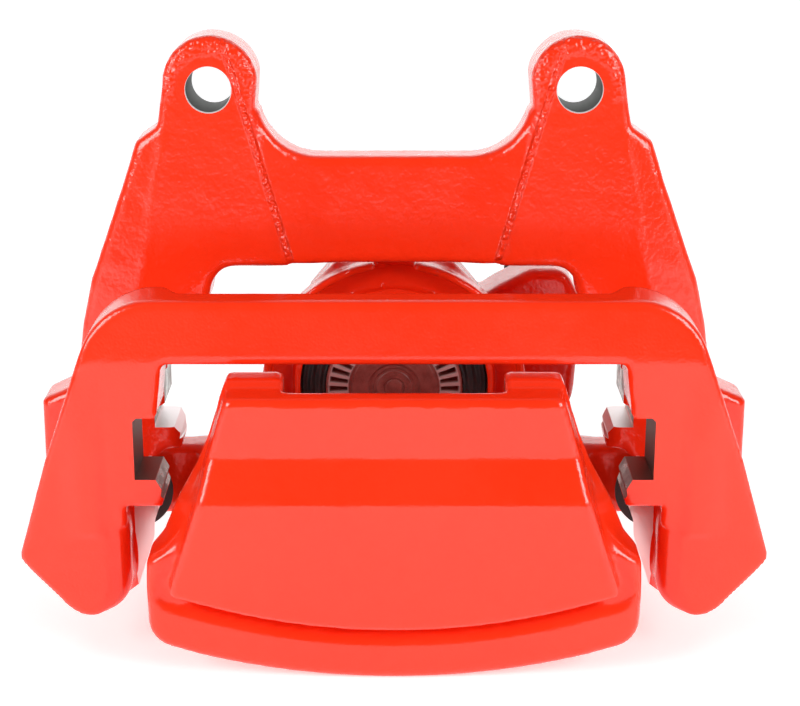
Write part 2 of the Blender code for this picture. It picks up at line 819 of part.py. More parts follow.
def build():
    for obj in list(bpy.data.objects):
        bpy.data.objects.remove(obj, do_unlink=True)

    red_coat = material("red powder coat", (0.71, 0.035, 0.012), 0.24, 0.0)
    zinc = material("zinc plated steel", (0.62, 0.61, 0.56), 0.32, 1.0)
    pin_steel = material("ground pin steel", (0.66, 0.66, 0.65), 0.2, 1.0)
    phenolic = material("phenolic moulding", (0.2, 0.045, 0.035), 0.38, 0.0)
    rubber = material("black rubber", (0.018, 0.018, 0.019), 0.55, 0.0)
    yellow = material("yellow polyethylene", (0.86, 0.66, 0.05), 0.4, 0.0)

    bracket = carrier_bracket()
    housing = caliper_housing()
    pins = [guide_pin("guide_pin_left", -1, False), guide_pin("guide_pin_right", 1, True)]
    bolts = [pin_bolt("pin_bolt_left", -1), pin_bolt("pin_bolt_right", 1)]
    boots = [pin_boot("pin_boot_left", -1), pin_boot("pin_boot_right", 1)]
    bush = pin_bush("pin_bush_right", 1)
    plunger = piston()
    seal = piston_seal()
    dust_boot = piston_boot()
    screw = bleeder_screw()
    cap = bleeder_cap()
    plug = inlet_plug()

    for piece in (bracket, housing):
        finish(piece, red_coat)
    for piece in bolts + [screw]:
        finish(piece, zinc)
    for piece in pins:
        finish(piece, pin_steel)
    finish(plunger, phenolic)
    for piece in boots + [bush, seal, dust_boot, cap]:
        finish(piece, rubber)
    finish(plug, yellow)

    assembly = joint_empty("assembly", (0.0, 0.0, 0.0))
    slide = joint_empty("caliper slide axis", (PIN_X, PIN_HEAD_Y, PIN_Z), assembly)
    piston_axis = joint_empty("piston axis", (0.0, PISTON_FACE_Y, CYLINDER_Z), slide)
    bleeder_axis = joint_empty("bleeder axis", BLEEDER_AT, slide)
    cap_axis = joint_empty("bleeder cap axis", BLEEDER_AT, bleeder_axis)
    plug_axis = joint_empty("inlet plug axis", INLET_AT, slide)
    tools = [obj for obj in bpy.data.objects if obj.hide_render]
    hang([bracket] + tools, assembly)
    hang([housing, bush, seal, dust_boot] + pins + bolts + boots, slide)
    hang([plunger], piston_axis)
    hang([screw], bleeder_axis)
    hang([cap], cap_axis)
    hang([plug], plug_axis)
    assembly.location = Vector((0.0, -(FRONT_Y + REAR_Y) / 2, -UNDERSIDE_Z)) * MM
    bpy.context.view_layer.update()


build()
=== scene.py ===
"""A sliding disc brake caliper on its carrier bracket: coated castings, machined faces, fittings.

Lengths are in millimetres in the maker's axes: X across, Y along the guide pins with 0 at the
machined outboard face of the bracket's legs, and Z up with 0 at the top of the outboard
abutments.  world() turns them into the frame's metres.
"""
import json
import math

import bmesh
import bpy
import numpy as np
import openvdb as vdb
from mathutils import Matrix, Vector

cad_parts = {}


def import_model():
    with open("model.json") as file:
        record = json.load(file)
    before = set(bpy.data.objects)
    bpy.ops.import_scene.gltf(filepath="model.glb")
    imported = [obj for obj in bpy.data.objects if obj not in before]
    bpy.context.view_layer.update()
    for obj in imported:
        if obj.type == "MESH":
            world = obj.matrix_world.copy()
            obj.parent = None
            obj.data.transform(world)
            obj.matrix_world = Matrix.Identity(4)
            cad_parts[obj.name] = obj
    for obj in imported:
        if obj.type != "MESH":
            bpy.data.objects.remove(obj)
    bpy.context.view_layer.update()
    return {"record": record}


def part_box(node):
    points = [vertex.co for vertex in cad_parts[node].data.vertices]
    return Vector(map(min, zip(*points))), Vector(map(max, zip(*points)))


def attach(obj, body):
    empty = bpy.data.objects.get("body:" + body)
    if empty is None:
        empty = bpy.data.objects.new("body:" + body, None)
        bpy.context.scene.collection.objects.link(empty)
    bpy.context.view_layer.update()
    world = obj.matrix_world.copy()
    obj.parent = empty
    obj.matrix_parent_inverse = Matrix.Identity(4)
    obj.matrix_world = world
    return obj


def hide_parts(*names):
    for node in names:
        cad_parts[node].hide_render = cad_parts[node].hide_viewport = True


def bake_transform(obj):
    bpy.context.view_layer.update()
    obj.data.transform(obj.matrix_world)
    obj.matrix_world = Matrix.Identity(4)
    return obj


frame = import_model()

MM = 0.001


def mount_point(name):
    """Where the record puts one of its mounts."""
    return next(m["pos_m"] for m in frame["record"]["mounts"] if m["name"] == name)


ABUTMENT_TOP = mount_point("outboard_abutment_left")[2]
ORIGIN = np.array([0.0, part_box("carrier_bracket")[0].y, ABUTMENT_TOP])


def world(points):
    """Maker's millimetres to the frame's metres."""
    return np.asarray(points, float) * MM + ORIGIN


# ---- sizes shared by several pieces ----
VOXEL = 1.0
FAR = -20.0                                  # past the middle, where half an outline closes
DISC_AXIS_Z, DISC_CLEAR_R = 140.0, 169.0
DISC_GAP = (18.0, 42.0)
HOLE_X, HOLE_Z, HOLE_R = 50.6, 96.4, 6.1
CHAMFER_END = (44.2, 44.6)
RIB_FOOT, RIB_LEAN, RIB_OFFSET = 13.3, 0.29, 1.6
BEAD_SCALE, BEAD_HEIGHT = 820.0, 3.6
PIN_X, PIN_Z = 78.5, -26.0
PIN_BOSS_R, PIN_BOSS_Y1, PIN_BORE_R = 9.2, 58.0, 5.3
LUG_R, LUG_Y0, LUG_Y1 = 11.0, 66.0, 77.0
LUG_HOLE_R, SPOT_FACE_R, SPOT_DEPTH = 4.3, 9.6, 0.05
CYLINDER_Z, CYLINDER_Y0, REAR_Y = 5.5, 58.0, 114.0
BORE_R, BOOT_SEAT_R, GROOVE_R = 20.5, 27.8, 23.2
PISTON_R, PISTON_FACE_Y = 20.2, 59.5
BLEEDER_TILT = math.radians(35)
BLEEDER_AT = (40.0, 97.0, 22.0)
BLEEDER_AXIS = (0.0, math.cos(BLEEDER_TILT), math.sin(BLEEDER_TILT))
INLET_AT, INLET_AXIS = (56.0, 89.0, 21.0), (1.0, 0.0, 0.0)


# ---- outlines ----
def arc(centre, radius, start, end, steps=12):
    """Points on a circle between two angles in degrees."""
    angles = np.radians(np.linspace(start, end, steps + 1))
    rings = zip(np.cos(angles), np.sin(angles))
    return [(centre[0] + radius * c, centre[1] + radius * s) for c, s in rings]


def rounded(corners):
    """An outline from (u, v) or (u, v, radius) corners; a corner with a radius becomes an arc.

    The arc's centre lies on the corner's bisector, radius / sin(half the corner's angle) from it.
    """
    points = []
    count = len(corners)
    for i, corner in enumerate(corners):
        here = Vector(corner[:2])
        if len(corner) < 3:
            points.append(tuple(here))
            continue
        radius = corner[2]
        before = (Vector(corners[i - 1][:2]) - here).normalized()
        after = (Vector(corners[(i + 1) % count][:2]) - here).normalized()
        half = before.angle(after) / 2
        centre = here + (before + after).normalized() * (radius / math.sin(half))
        start = here + before * (radius / math.tan(half)) - centre
        end = here + after * (radius / math.tan(half)) - centre
        turn = math.atan2(start.x * end.y - start.y * end.x, start.dot(end))
        steps = max(5, int(radius))
        for k in range(steps + 1):
            points.append(tuple(centre + Matrix.Rotation(turn * k / steps, 2) @ start))
    return points


def both_sides(outline):
    """An (x, z) outline and its mirror image."""
    return [outline, [(-x, z) for x, z in reversed(outline)]]


def ramp(value, low, high):
    """0 below low, 1 above high, and a smooth step between."""
    t = np.clip((value - low) / (high - low), 0, 1)
    return t * t * (3 - 2 * t)


# ---- castings: distance fields over a grid, in millimetres, negative inside the metal ----
def grid(low, high, step):
    """Three coordinate arrays of a box, shaped so that they broadcast into one block of points."""
    axes = [np.arange(a, b + step, step, dtype=np.float32) for a, b in zip(low, high)]
    return axes[0][:, None, None], axes[1][None, :, None], axes[2][None, None, :]


def outline_distance(points, u, v):
    """Distance to a closed outline: the least over its edges of the distance to that edge, and
    negative where a line towards +u crosses the outline an odd number of times."""
    corners = np.array(points, np.float32)
    nearest = np.full(np.broadcast(u, v).shape, np.inf, np.float32)
    inside = np.zeros(nearest.shape, bool)
    for (pu, pv), (qu, qv) in zip(corners, np.roll(corners, -1, axis=0)):
        eu, ev = qu - pu, qv - pv
        along = np.clip(((u - pu) * eu + (v - pv) * ev) / (eu * eu + ev * ev + 1e-9), 0, 1)
        nearest = np.minimum(nearest, (u - pu - along * eu) ** 2 + (v - pv - along * ev) ** 2)
        if abs(ev) > 1e-9:
            inside ^= ((pv > v) != (qv > v)) & (u < pu + (v - pv) * eu / ev)
    return np.where(inside, -1, 1) * np.sqrt(nearest)


def between(coordinate, low, high):
    """Distance to the slab between two planes, which may be arrays."""
    return np.maximum(low - coordinate, coordinate - high)


def meet(a, b, radius=0.0):
    """What is in both fields, with their common edge rounded: the length of the two distances,
    each measured from a surface that lies the radius further in."""
    u, v = a + radius, b + radius
    outside = np.hypot(np.maximum(u, 0), np.maximum(v, 0))
    return np.minimum(np.maximum(u, v), 0) + outside - radius


def join(a, b, fillet=0.0):
    """What is in either field, with a fillet of that radius in the corner between them."""
    return -meet(-a, -b, fillet)


def remove(a, b, radius=0.0):
    """What is in the first field and not in the second."""
    return meet(a, -b, radius)


def turned_distance(profile, radius, along):
    """Distance to a body turned about an axis, from its (radius, along) outline.

    The outline's distance is worked out on a fine scale of radii, and read off that scale.
    """
    fine = 0.2
    reach = float(radius.max()) + 2 * fine
    scale = np.arange(0, reach, fine, dtype=np.float32)
    table = outline_distance(profile, scale[:, None], along.reshape(1, -1))
    place = radius[:, 0, :] / fine
    low = np.floor(place).astype(int)
    share = (place - low)[..., None]
    found = table[low] * (1 - share) + table[low + 1] * share
    return np.moveaxis(found, 2, 1)


def cast_grain(x, y, z, seed):
    """A faint unevenness of sand-cast skin: the mean of plane waves in seeded directions."""
    waves, shortest, longest = 7, 5.0, 11.0
    rng = np.random.default_rng(seed)
    total = 0.0
    for wave in rng.uniform(shortest, longest, waves):
        way = rng.normal(size=3)
        way = way / np.linalg.norm(way) * 2 * math.pi / wave
        phase = rng.uniform(0, 2 * math.pi)
        total = total + np.sin(x * way[0] + y * way[1] + z * way[2] + phase)
    return total / waves


def skin(name, field, low, step):
    """The surface where a field is zero, as a closed mesh of quads."""
    band = 3 * step
    cells = vdb.FloatGrid(background=band)
    cells.copyFromArray(np.ascontiguousarray(np.clip(field, -band, band), np.float32))
    points, quads = cells.convertToQuads(isovalue=0.0)
    return mesh_object(name, points * step + np.array(low), quads[:, ::-1])


# ---- meshes ----
def in_scene(name, data):
    """An object at the origin for a mesh, a light or a camera."""
    obj = bpy.data.objects.new(name, data)
    bpy.context.scene.collection.objects.link(obj)
    return obj


def raw_mesh(name, points, faces, surface=None):
    """A mesh object from points in metres."""
    mesh = bpy.data.meshes.new(name)
    mesh.from_pydata(np.asarray(points, float).tolist(), [], list(map(list, faces)))
    if surface:
        mesh.materials.append(surface)
    return in_scene(name, mesh)


def mesh_object(name, points, faces, surface=None):
    """A mesh object from points in maker's millimetres."""
    return raw_mesh(name, world(points), faces, surface)


def close_up(obj):
    """Merges doubled points, such as those at a pole, and faces everything outwards."""
    work = bmesh.new()
    work.from_mesh(obj.data)
    bmesh.ops.remove_doubles(work, verts=work.verts, dist=1e-7)
    bmesh.ops.recalc_face_normals(work, faces=work.faces)
    work.to_mesh(obj.data)
    work.free()
    return obj


def axis_frame(axis):
    """A rotation that turns +Y towards an axis, as a 3 x 3 array."""
    return np.array(Vector((0, 1, 0)).rotation_difference(Vector(axis)).to_matrix())


def around(sides):
    """The angles of the points on a ring."""
    return np.arange(sides) * 2 * math.pi / sides


def turned(name, radii, along, centre, axis=(0, 1, 0), surface=None, closed=True, sides=72):
    """A turned surface: ring i has radius radii[i] and height along[i], or a row of them.

    The point at angle a is (radius cos a, height, radius sin a), turned from +Y to the axis.
    Rings of radius 0 at both ends close a profile on the axis; a closed profile joins its last
    ring to its first.
    """
    radii, along = np.asarray(radii, float), np.asarray(along, float)
    if radii.ndim == 1:
        radii = np.repeat(radii[:, None], sides, axis=1)
    if along.ndim == 1:
        along = np.repeat(along[:, None], radii.shape[1], axis=1)
    rings, sides = radii.shape
    angle = around(sides)
    points = np.stack([radii * np.cos(angle), along, radii * np.sin(angle)], axis=-1)
    points = points.reshape(-1, 3) @ axis_frame(axis).T + np.array(centre)
    ring = np.arange(rings if closed else rings - 1)[:, None]
    side = np.arange(sides)[None, :]
    after = (side + 1) % sides
    first, second = ring * sides, (ring + 1) % rings * sides
    quads = [first + side, first + after, second + after, second + side]
    return close_up(mesh_object(name, points, np.stack(quads, axis=-1).reshape(-1, 4), surface))


def from_rows(name, rows, centre, axis=(0, 1, 0), surface=None, sides=72):
    """A turned body from rows of (radius, along) that start and end on the axis.  A radius may
    change round the ring."""
    radii = np.array([np.broadcast_to(radius, sides) for radius, _ in rows])
    return turned(name, radii, [along for _, along in rows], centre, axis, surface, closed=False)


def lathe(name, profile, centre, axis=(0, 1, 0), surface=None, sides=72):
    """A turned body from its closed outline of (radius, along[, corner radius]) points."""
    outline = np.array(rounded(profile))
    radii = np.maximum(outline[:, 0], 0)
    return turned(name, radii, outline[:, 1], centre, axis, surface, sides=sides)


def prism(name, outline, y0, y1):
    """A straight block with an (x, z) outline between two depths."""
    outline = np.array(outline)
    count = len(outline)
    points = [np.column_stack([outline[:, 0], np.full(count, y), outline[:, 1]]) for y in (y0, y1)]
    here = np.arange(count)
    after = (here + 1) % count
    sides = np.stack([here, after, after + count, here + count], axis=-1).tolist()
    caps = [here[::-1].tolist(), (here + count).tolist()]
    return close_up(mesh_object(name, np.vstack(points), sides + caps))


def machine(casting, cutters):
    """Cuts the machined shapes out of a coated casting in one go; what they leave is bare metal.

    An edge is sharp only where a machined face meets another face at more than 25 degrees.
    """
    joined = bpy.data.meshes.new("machining")
    work = bmesh.new()
    for cutter in cutters:
        work.from_mesh(cutter.data)
        bpy.data.objects.remove(cutter)
    work.to_mesh(joined)
    work.free()
    joined.materials.append(BARE)
    tool = in_scene("machining", joined)
    casting.data.materials.append(COAT)
    step = casting.modifiers.new("machining", "BOOLEAN")
    step.object, step.operation, step.solver = tool, "DIFFERENCE", "MANIFOLD"
    step.material_mode = "TRANSFER"
    graph = bpy.context.evaluated_depsgraph_get()
    done = bpy.data.meshes.new_from_object(casting.evaluated_get(graph))
    casting.modifiers.clear()
    casting.data = done
    bpy.data.objects.remove(tool)
    soft(casting, 25)
    slots, sizes = np.zeros((2, len(done.polygons)), np.int32)
    edges = np.zeros(len(done.loops), np.int32)
    done.polygons.foreach_get("material_index", slots)
    done.polygons.foreach_get("loop_total", sizes)
    done.loops.foreach_get("edge_index", edges)
    machined = np.zeros(len(done.edges), np.int32)
    np.maximum.at(machined, edges, np.repeat(slots, sizes))
    sharp = done.attributes["sharp_edge"].data
    marks = np.zeros(len(done.edges), bool)
    sharp.foreach_get("value", marks)
    sharp.foreach_set("value", marks & (machined > 0))


def soft(obj, angle=35):
    """Smooth shading, with edges sharper than the angle kept."""
    obj.data.shade_smooth()
    obj.data.set_sharp_from_angle(angle=math.radians(angle))
    return obj


def stands_for(obj, node):
    """Hides the imported part of the node that a piece stands for."""
    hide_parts(node)
    return obj


def fitted(obj, body, node):
    """A rigid piece: it rides on its body and stands for its node."""
    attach(soft(obj), body)
    return stands_for(obj, node)


def cast(name, body, node, seed, box, shape, roughness, tools):
    """A coated casting: its field over a box, roughened by depth, skinned and machined."""
    x, y, z = grid(*box, VOXEL)
    field = shape(x, y, z)
    low, high, start, end = roughness
    rough = low + (high - low) * ramp(y, start, end)
    casting = skin(name, field + rough * cast_grain(x, y, z, seed), box[0], VOXEL)
    machine(casting, tools())
    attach(casting, body)
    stands_for(casting, node)


# ---- surfaces: node helpers ----
def add(tree, kind, **settings):
    """A shader node; settings name its properties, and links are made by wire()."""
    made = tree.nodes.new("ShaderNode" + kind)
    for key, value in settings.items():
        setattr(made, key, value)
    return made


def wire(tree, source, target):
    """Links a socket to an input, or sets the input to a plain value."""
    if isinstance(source, bpy.types.NodeSocket):
        tree.links.new(source, target)
    elif source is not None:
        target.default_value = source


def maths(tree, operation, a, b=None):
    """A Math node on one or two sockets or numbers."""
    made = add(tree, "Math", operation=operation)
    wire(tree, a, made.inputs[0])
    wire(tree, b, made.inputs[1])
    return made.outputs[0]


def times(tree, first, *others):
    """The product of sockets or numbers."""
    for other in others:
        first = maths(tree, "MULTIPLY", first, other)
    return first


def most(tree, first, *others):
    """The greatest of sockets or numbers."""
    for other in others:
        first = maths(tree, "MAXIMUM", first, other)
    return first


def length(tree, a, b):
    """The length of a vector from its two parts."""
    squares = [maths(tree, "POWER", part, 2.0) for part in (a, b)]
    return maths(tree, "SQRT", maths(tree, "ADD", *squares))


def noise(tree, vector, scale, detail):
    made = add(tree, "TexNoise")
    for key, value in (("Vector", vector), ("Scale", scale), ("Detail", detail)):
        wire(tree, value, made.inputs[key])
    return made.outputs[0]


def spread(tree, value, low, high, to_low=0.0, to_high=1.0):
    """A smooth Map Range of a socket."""
    made = add(tree, "MapRange", interpolation_type="SMOOTHSTEP")
    keys = ("Value", "From Min", "From Max", "To Min", "To Max")
    for key, given in zip(keys, (value, low, high, to_low, to_high)):
        wire(tree, given, made.inputs[key])
    return made.outputs["Result"]


def past(tree, value, low, high):
    """A mask: 0 up to one length in millimetres and 1 past another."""
    return spread(tree, value, low * MM, high * MM)


def short_of(tree, value, low, high):
    """A mask: 1 up to one length in millimetres and 0 past another."""
    return spread(tree, value, low * MM, high * MM, 1.0, 0.0)


def blend_colours(tree, mask, first, second):
    made = add(tree, "Mix", data_type="RGBA")
    for index, value in ((0, mask), (6, first), (7, second)):
        wire(tree, value, made.inputs[index])
    return made.outputs[2]


def maker_axes(tree, vector):
    """|X|, depth and height in the maker's axes, in metres."""
    place = add(tree, "SeparateXYZ")
    wire(tree, vector, place.inputs[0])
    depth = maths(tree, "SUBTRACT", place.outputs["Y"], float(ORIGIN[1]))
    height = maths(tree, "SUBTRACT", place.outputs["Z"], float(ORIGIN[2]))
    return maths(tree, "ABSOLUTE", place.outputs["X"]), depth, height


def stretched(tree, vector, scale):
    """Coordinates squeezed along some axes, so that a pattern becomes long marks."""
    made = add(tree, "Mapping")
    made.inputs["Scale"].default_value = scale
    wire(tree, vector, made.inputs["Vector"])
    return made.outputs[0]


# ---- surfaces: shared effects ----
def new_group(name, inputs, outputs):
    """An empty node group; its inputs and outputs are given as {name: kind}."""
    tree = bpy.data.node_groups.new(name, "ShaderNodeTree")
    for way, sockets in (("INPUT", inputs), ("OUTPUT", outputs)):
        for label, kind in sockets.items():
            tree.interface.new_socket(label, in_out=way, socket_type="NodeSocket" + kind)
    ends = [tree.nodes.new("NodeGroup" + end) for end in ("Input", "Output")]
    return tree, ends[0].outputs, ends[1].inputs


def variation_group():
    """Soft cloudy change of a colour and of a roughness: large clouds, and finer specks."""
    tree, given, out = new_group(
        "surface variation",
        {"Vector": "Vector", "Colour": "Color", "Other colour": "Color", "Cloud scale": "Float",
         "Roughness low": "Float", "Roughness high": "Float"},
        {"Colour": "Color", "Roughness": "Float"},
    )
    specks_per_cloud, cloud_share, speck_share = 9.0, 0.7, 0.3
    cloud = noise(tree, given["Vector"], given["Cloud scale"], 4.0)
    fine_scale = times(tree, given["Cloud scale"], specks_per_cloud)
    fine = noise(tree, given["Vector"], fine_scale, 3.0)
    both = maths(tree, "ADD", times(tree, cloud, cloud_share), times(tree, fine, speck_share))
    mask = spread(tree, both, 0.36, 0.64)
    colour = blend_colours(tree, mask, given["Colour"], given["Other colour"])
    span = maths(tree, "SUBTRACT", given["Roughness high"], given["Roughness low"])
    rough = maths(tree, "ADD", given["Roughness low"], times(tree, mask, span))
    wire(tree, colour, out["Colour"])
    wire(tree, rough, out["Roughness"])
    return tree


def peel_group():
    """Height of a sprayed and baked coat: lumps of the casting below, and the coat's own peel."""
    tree, given, out = new_group(
        "coat peel",
        {"Vector": "Vector", "Lump scale": "Float", "Lumps": "Float", "Peel scale": "Float",
         "Peel": "Float"},
        {"Height": "Float"},
    )
    lump = noise(tree, given["Vector"], given["Lump scale"], 1.0)
    peel = noise(tree, given["Vector"], given["Peel scale"], 0.0)
    height = maths(tree, "ADD", times(tree, lump, given["Lumps"]), times(tree, peel, given["Peel"]))
    wire(tree, height, out["Height"])
    return tree


def bead_group():
    """Where the coat stands in beads: along the rib down from each ear, and round the ear's edge.

    The rib lies at |x| = its foot + its lean * height; the edge is a ring about the mounting hole.
    """
    tree, given, out = new_group("coat beads", {"Vector": "Vector"}, {"Mask": "Float"})
    side, depth, height = maker_axes(tree, given["Vector"])
    rib = maths(tree, "ADD", times(tree, height, RIB_LEAN), (RIB_FOOT + RIB_OFFSET) * MM)
    off_rib = maths(tree, "ABSOLUTE", maths(tree, "SUBTRACT", side, rib))
    on_rib = times(tree, short_of(tree, off_rib, 0.4, 1.3), past(tree, height, 48, 50))
    reach = length(tree, maths(tree, "SUBTRACT", side, HOLE_X * MM),
                   maths(tree, "SUBTRACT", height, HOLE_Z * MM))
    ring = spread(tree, reach, 8.5 * MM, 10.5 * MM, 0.0, 0.6)
    either = most(tree, on_rib, times(tree, ring, past(tree, height, 92, 97)))
    outboard_skin = times(tree, short_of(tree, depth, 46, 48), past(tree, depth, 36, 38))
    wire(tree, times(tree, either, outboard_skin), out["Mask"])
    return tree


def use(tree, group, **values):
    """A group placed in a material, with inputs wired or set; spaces in names are underscores."""
    made = tree.nodes.new("ShaderNodeGroup")
    made.node_tree = group
    for key, value in values.items():
        wire(tree, value, made.inputs[key.replace("_", " ")])
    return made.outputs


# ---- surfaces: finishes ----
def material(name, **constants):
    """A material with a Principled shader, its constants set by socket name, and its object
    coordinates."""
    made = bpy.data.materials.new(name)
    made.use_nodes = True
    tree = made.node_tree
    shader = tree.nodes["Principled BSDF"].inputs
    for key, value in constants.items():
        shader[key.replace("_", " ")].default_value = value
    return made, tree, shader, add(tree, "TexCoord").outputs["Object"]


def mottled(name, colours, cloud_scale, roughness, **constants):
    """A material whose colour and roughness change softly between two values each."""
    made, tree, shader, here = material(name, **constants)
    tone = use(tree, VARIATION, Vector=here, Colour=colours[0], Other_colour=colours[1],
               Cloud_scale=cloud_scale, Roughness_low=roughness[0], Roughness_high=roughness[1])
    wire(tree, tone["Colour"], shader["Base Color"])
    wire(tree, tone["Roughness"], shader["Roughness"])
    return made, tree, shader, here, tone


def bump(tree, shader, height, strength, distance):
    made = add(tree, "Bump")
    for key, value in (("Strength", strength), ("Distance", distance), ("Height", height)):
        wire(tree, value, made.inputs[key])
    wire(tree, made.outputs[0], shader["Normal"])


def coat_material():
    """Baked red powder coat: smooth outboard, lumpy where it covers the rougher inboard casting."""
    made, tree, shader, here, _ = mottled("red powder coat", (RED, RED_LIGHTER), 26.0, (0.17, 0.23),
                                          Coat_Weight=0.2, Coat_Roughness=0.08)
    _, depth, _ = maker_axes(tree, here)
    lumps = spread(tree, depth, 22 * MM, 36 * MM, 0.06, 0.5)
    skin_height = use(tree, peel_group(), Vector=here, Lump_scale=620.0, Lumps=lumps,
                      Peel_scale=1500.0, Peel=0.12)["Height"]
    mask = use(tree, bead_group(), Vector=here)["Mask"]
    bead = times(tree, mask, noise(tree, here, BEAD_SCALE, 0.0), BEAD_HEIGHT)
    bump(tree, shader, maths(tree, "ADD", skin_height, bead), 1.0, 0.3 * MM)
    return made


def bare_material():
    """Milled steel with tool marks across the cut.  The chamfers round the mounting holes, a ledge
    and a wall are painted near-white as a painted highlight; it is stained on the outboard slots'
    walls; and the bores of the mounting holes are painted near-black as painted shade."""
    made, tree, shader, here, tone = mottled("bare machined steel", (STEEL, STEEL_DARKER), 170.0,
                                             (0.22, 0.42))
    side, depth, height = maker_axes(tree, here)
    at_ear = past(tree, height, 80, 82)
    # painted shade: the bores of the mounting holes behind their chamfers are painted near-black
    bore_painted_shade = times(tree, at_ear, past(tree, depth, *CHAMFER_END), short_of(tree, depth, 60.8, 61.4))
    chamfer = times(tree, at_ear, short_of(tree, depth, *CHAMFER_END))
    ledge = times(tree, past(tree, depth, 38, 39), short_of(tree, height, 0.4, 0.8))
    wall = times(tree, short_of(tree, depth, 57.2, 57.6), short_of(tree, height, -9.2, -8.8))
    # painted highlight: the holes' chamfers, a ledge and a wall are painted near-white
    painted_highlight = most(tree, chamfer, ledge, wall)
    stained = times(tree, short_of(tree, depth, 18, 22), past(tree, side, 63, 63.4),
                    past(tree, height, -4, -3))
    colour = blend_colours(tree, painted_highlight, tone["Colour"], STEEL_PAINTED_HIGHLIGHT)
    colour = blend_colours(tree, stained, colour, STEEL_STAINED)
    wire(tree, blend_colours(tree, bore_painted_shade, colour, STEEL_PAINTED_SHADE), shader["Base Color"])
    dulled_metal = maths(tree, "SUBTRACT", 1.0, times(tree, chamfer, 0.8))
    wire(tree, dulled_metal, shader["Metallic"])
    dull = times(tree, most(tree, bore_painted_shade, stained, painted_highlight), 0.5)
    wire(tree, most(tree, tone["Roughness"], dull), shader["Roughness"])
    marks = noise(tree, stretched(tree, here, (1.0, 0.05, 1.0)), 2600.0, 1.0)
    bump(tree, shader, marks, 0.25, 0.05 * MM)
    return made


def turned_metal(name, colours, roughness, marks):
    """Plated or ground metal, faintly mottled, with marks that run round the part."""
    made, tree, shader, here, _ = mottled(name, colours, 140.0, roughness, Metallic=1.0)
    lines = noise(tree, stretched(tree, here, (0.04, 1.0, 0.04)), 3000.0, 1.0)
    bump(tree, shader, lines, marks, 0.05 * MM)
    return made


def moulded(name, colours, cloud_scale, roughness, grain_scale, grain, **constants):
    """Rubber or plastic: slightly dusty or cloudy, with a fine moulded grain."""
    made, tree, shader, here, _ = mottled(name, colours, cloud_scale, roughness, **constants)
    bump(tree, shader, noise(tree, here, grain_scale, 1.0), grain, 0.06 * MM)
    return made


def phenolic_material():
    """Moulded brown-red piston resin: mottled with filler, marked by the facing cut, and with a
    painted highlight: the fronts of the vanes between the pockets are painted pale."""
    made, tree, shader, here, tone = mottled("phenolic moulding", (PHENOLIC, PHENOLIC_PALE), 330.0,
                                             (0.34, 0.5), Coat_Weight=0.15, Coat_Roughness=0.3)
    centred = add(tree, "Mapping")
    centred.inputs["Location"].default_value = tuple(-world((0, 0, CYLINDER_Z)) * [1, 0, 1])
    wire(tree, here, centred.inputs["Vector"])
    place = add(tree, "SeparateXYZ")
    wire(tree, centred.outputs[0], place.inputs[0])
    reach = length(tree, place.outputs["X"], place.outputs["Z"])
    vanes = times(tree, past(tree, reach, 13.2, 13.8), short_of(tree, reach, 19.2, 19.8))
    face = float(world((0, PISTON_FACE_Y, 0))[1])
    front = spread(tree, place.outputs["Y"], face + 0.3 * MM, face + 1.2 * MM, 0.75, 0.0)
    # painted highlight: the fronts of the vanes are painted pale
    colour = blend_colours(tree, times(tree, vanes, front), tone["Colour"], PHENOLIC_PAINTED_HIGHLIGHT)
    wire(tree, colour, shader["Base Color"])
    rings = add(tree, "TexWave", wave_type="RINGS", rings_direction="Y")
    rings.inputs["Scale"].default_value = 260.0
    rings.inputs["Distortion"].default_value = 0.4
    wire(tree, centred.outputs[0], rings.inputs["Vector"])
    bump(tree, shader, rings.outputs["Fac"], 0.35, 0.08 * MM)
    return made


RED, RED_LIGHTER = (0.88, 0.029, 0.005, 1), (0.90, 0.032, 0.006, 1)
STEEL, STEEL_DARKER = (0.40, 0.41, 0.38, 1), (0.25, 0.25, 0.23, 1)
# painted shade for the bores of the mounting holes
STEEL_PAINTED_SHADE = (0.03, 0.034, 0.028, 1)
# painted highlight for the holes' chamfers, a ledge and a wall
STEEL_PAINTED_HIGHLIGHT = (0.93, 0.88, 0.88, 1)
STEEL_STAINED = (0.15, 0.115, 0.095, 1)
ZINC, ZINC_YELLOWER = (0.68, 0.67, 0.62, 1), (0.6, 0.57, 0.47, 1)
PIN, PIN_DARKER = (0.7, 0.7, 0.69, 1), (0.58, 0.58, 0.58, 1)
RUBBER, RUBBER_DUSTY = (0.008, 0.008, 0.009, 1), (0.02, 0.02, 0.021, 1)
PHENOLIC, PHENOLIC_PALE = (0.2, 0.05, 0.042, 1), (0.29, 0.085, 0.07, 1)
# painted highlight for the fronts of the piston's vanes
PHENOLIC_PAINTED_HIGHLIGHT = (0.62, 0.46, 0.45, 1)
YELLOW, YELLOW_PALE = (0.85, 0.62, 0.03, 1), (0.9, 0.7, 0.07, 1)

VARIATION = variation_group()
COAT = coat_material()
BARE = bare_material()
ZINC_STEEL = turned_metal("zinc plated steel", (ZINC, ZINC_YELLOWER), (0.24, 0.38), 0.25)
PIN_STEEL = turned_metal("ground pin steel", (PIN, PIN_DARKER), (0.14, 0.24), 0.4)
BLACK_RUBBER = moulded("black rubber", (RUBBER, RUBBER_DUSTY), 110.0, (0.38, 0.58), 2400.0, 0.4)
PHENOLIC_RESIN = phenolic_material()
YELLOW_PLASTIC = moulded("yellow polyethylene", (YELLOW, YELLOW_PALE), 160.0, (0.32, 0.46), 1200.0,
                         0.2, Subsurface_Weight=0.12, Subsurface_Scale=2 * MM)


# ---- carrier bracket ----
def outboard_frame():
    """The two legs and the tie bar over the disc's edge: half of the outline, past the middle."""
    return rounded([
        (FAR, 48.5), (76.8, 48.5, 20.0), (92.3, 5.0), (100.7, -23.0, 4.0),
        (70.8, -56.6, 10.0), (71.2, -16.0), (71.6, -8.0), (61.4, -8.0),
        (61.4, -5.2), (58.0, -4.0), (58.0, 16.6), (62.4, 17.6), (60.7, 31.7, 2.0), (FAR, 31.7),
    ])


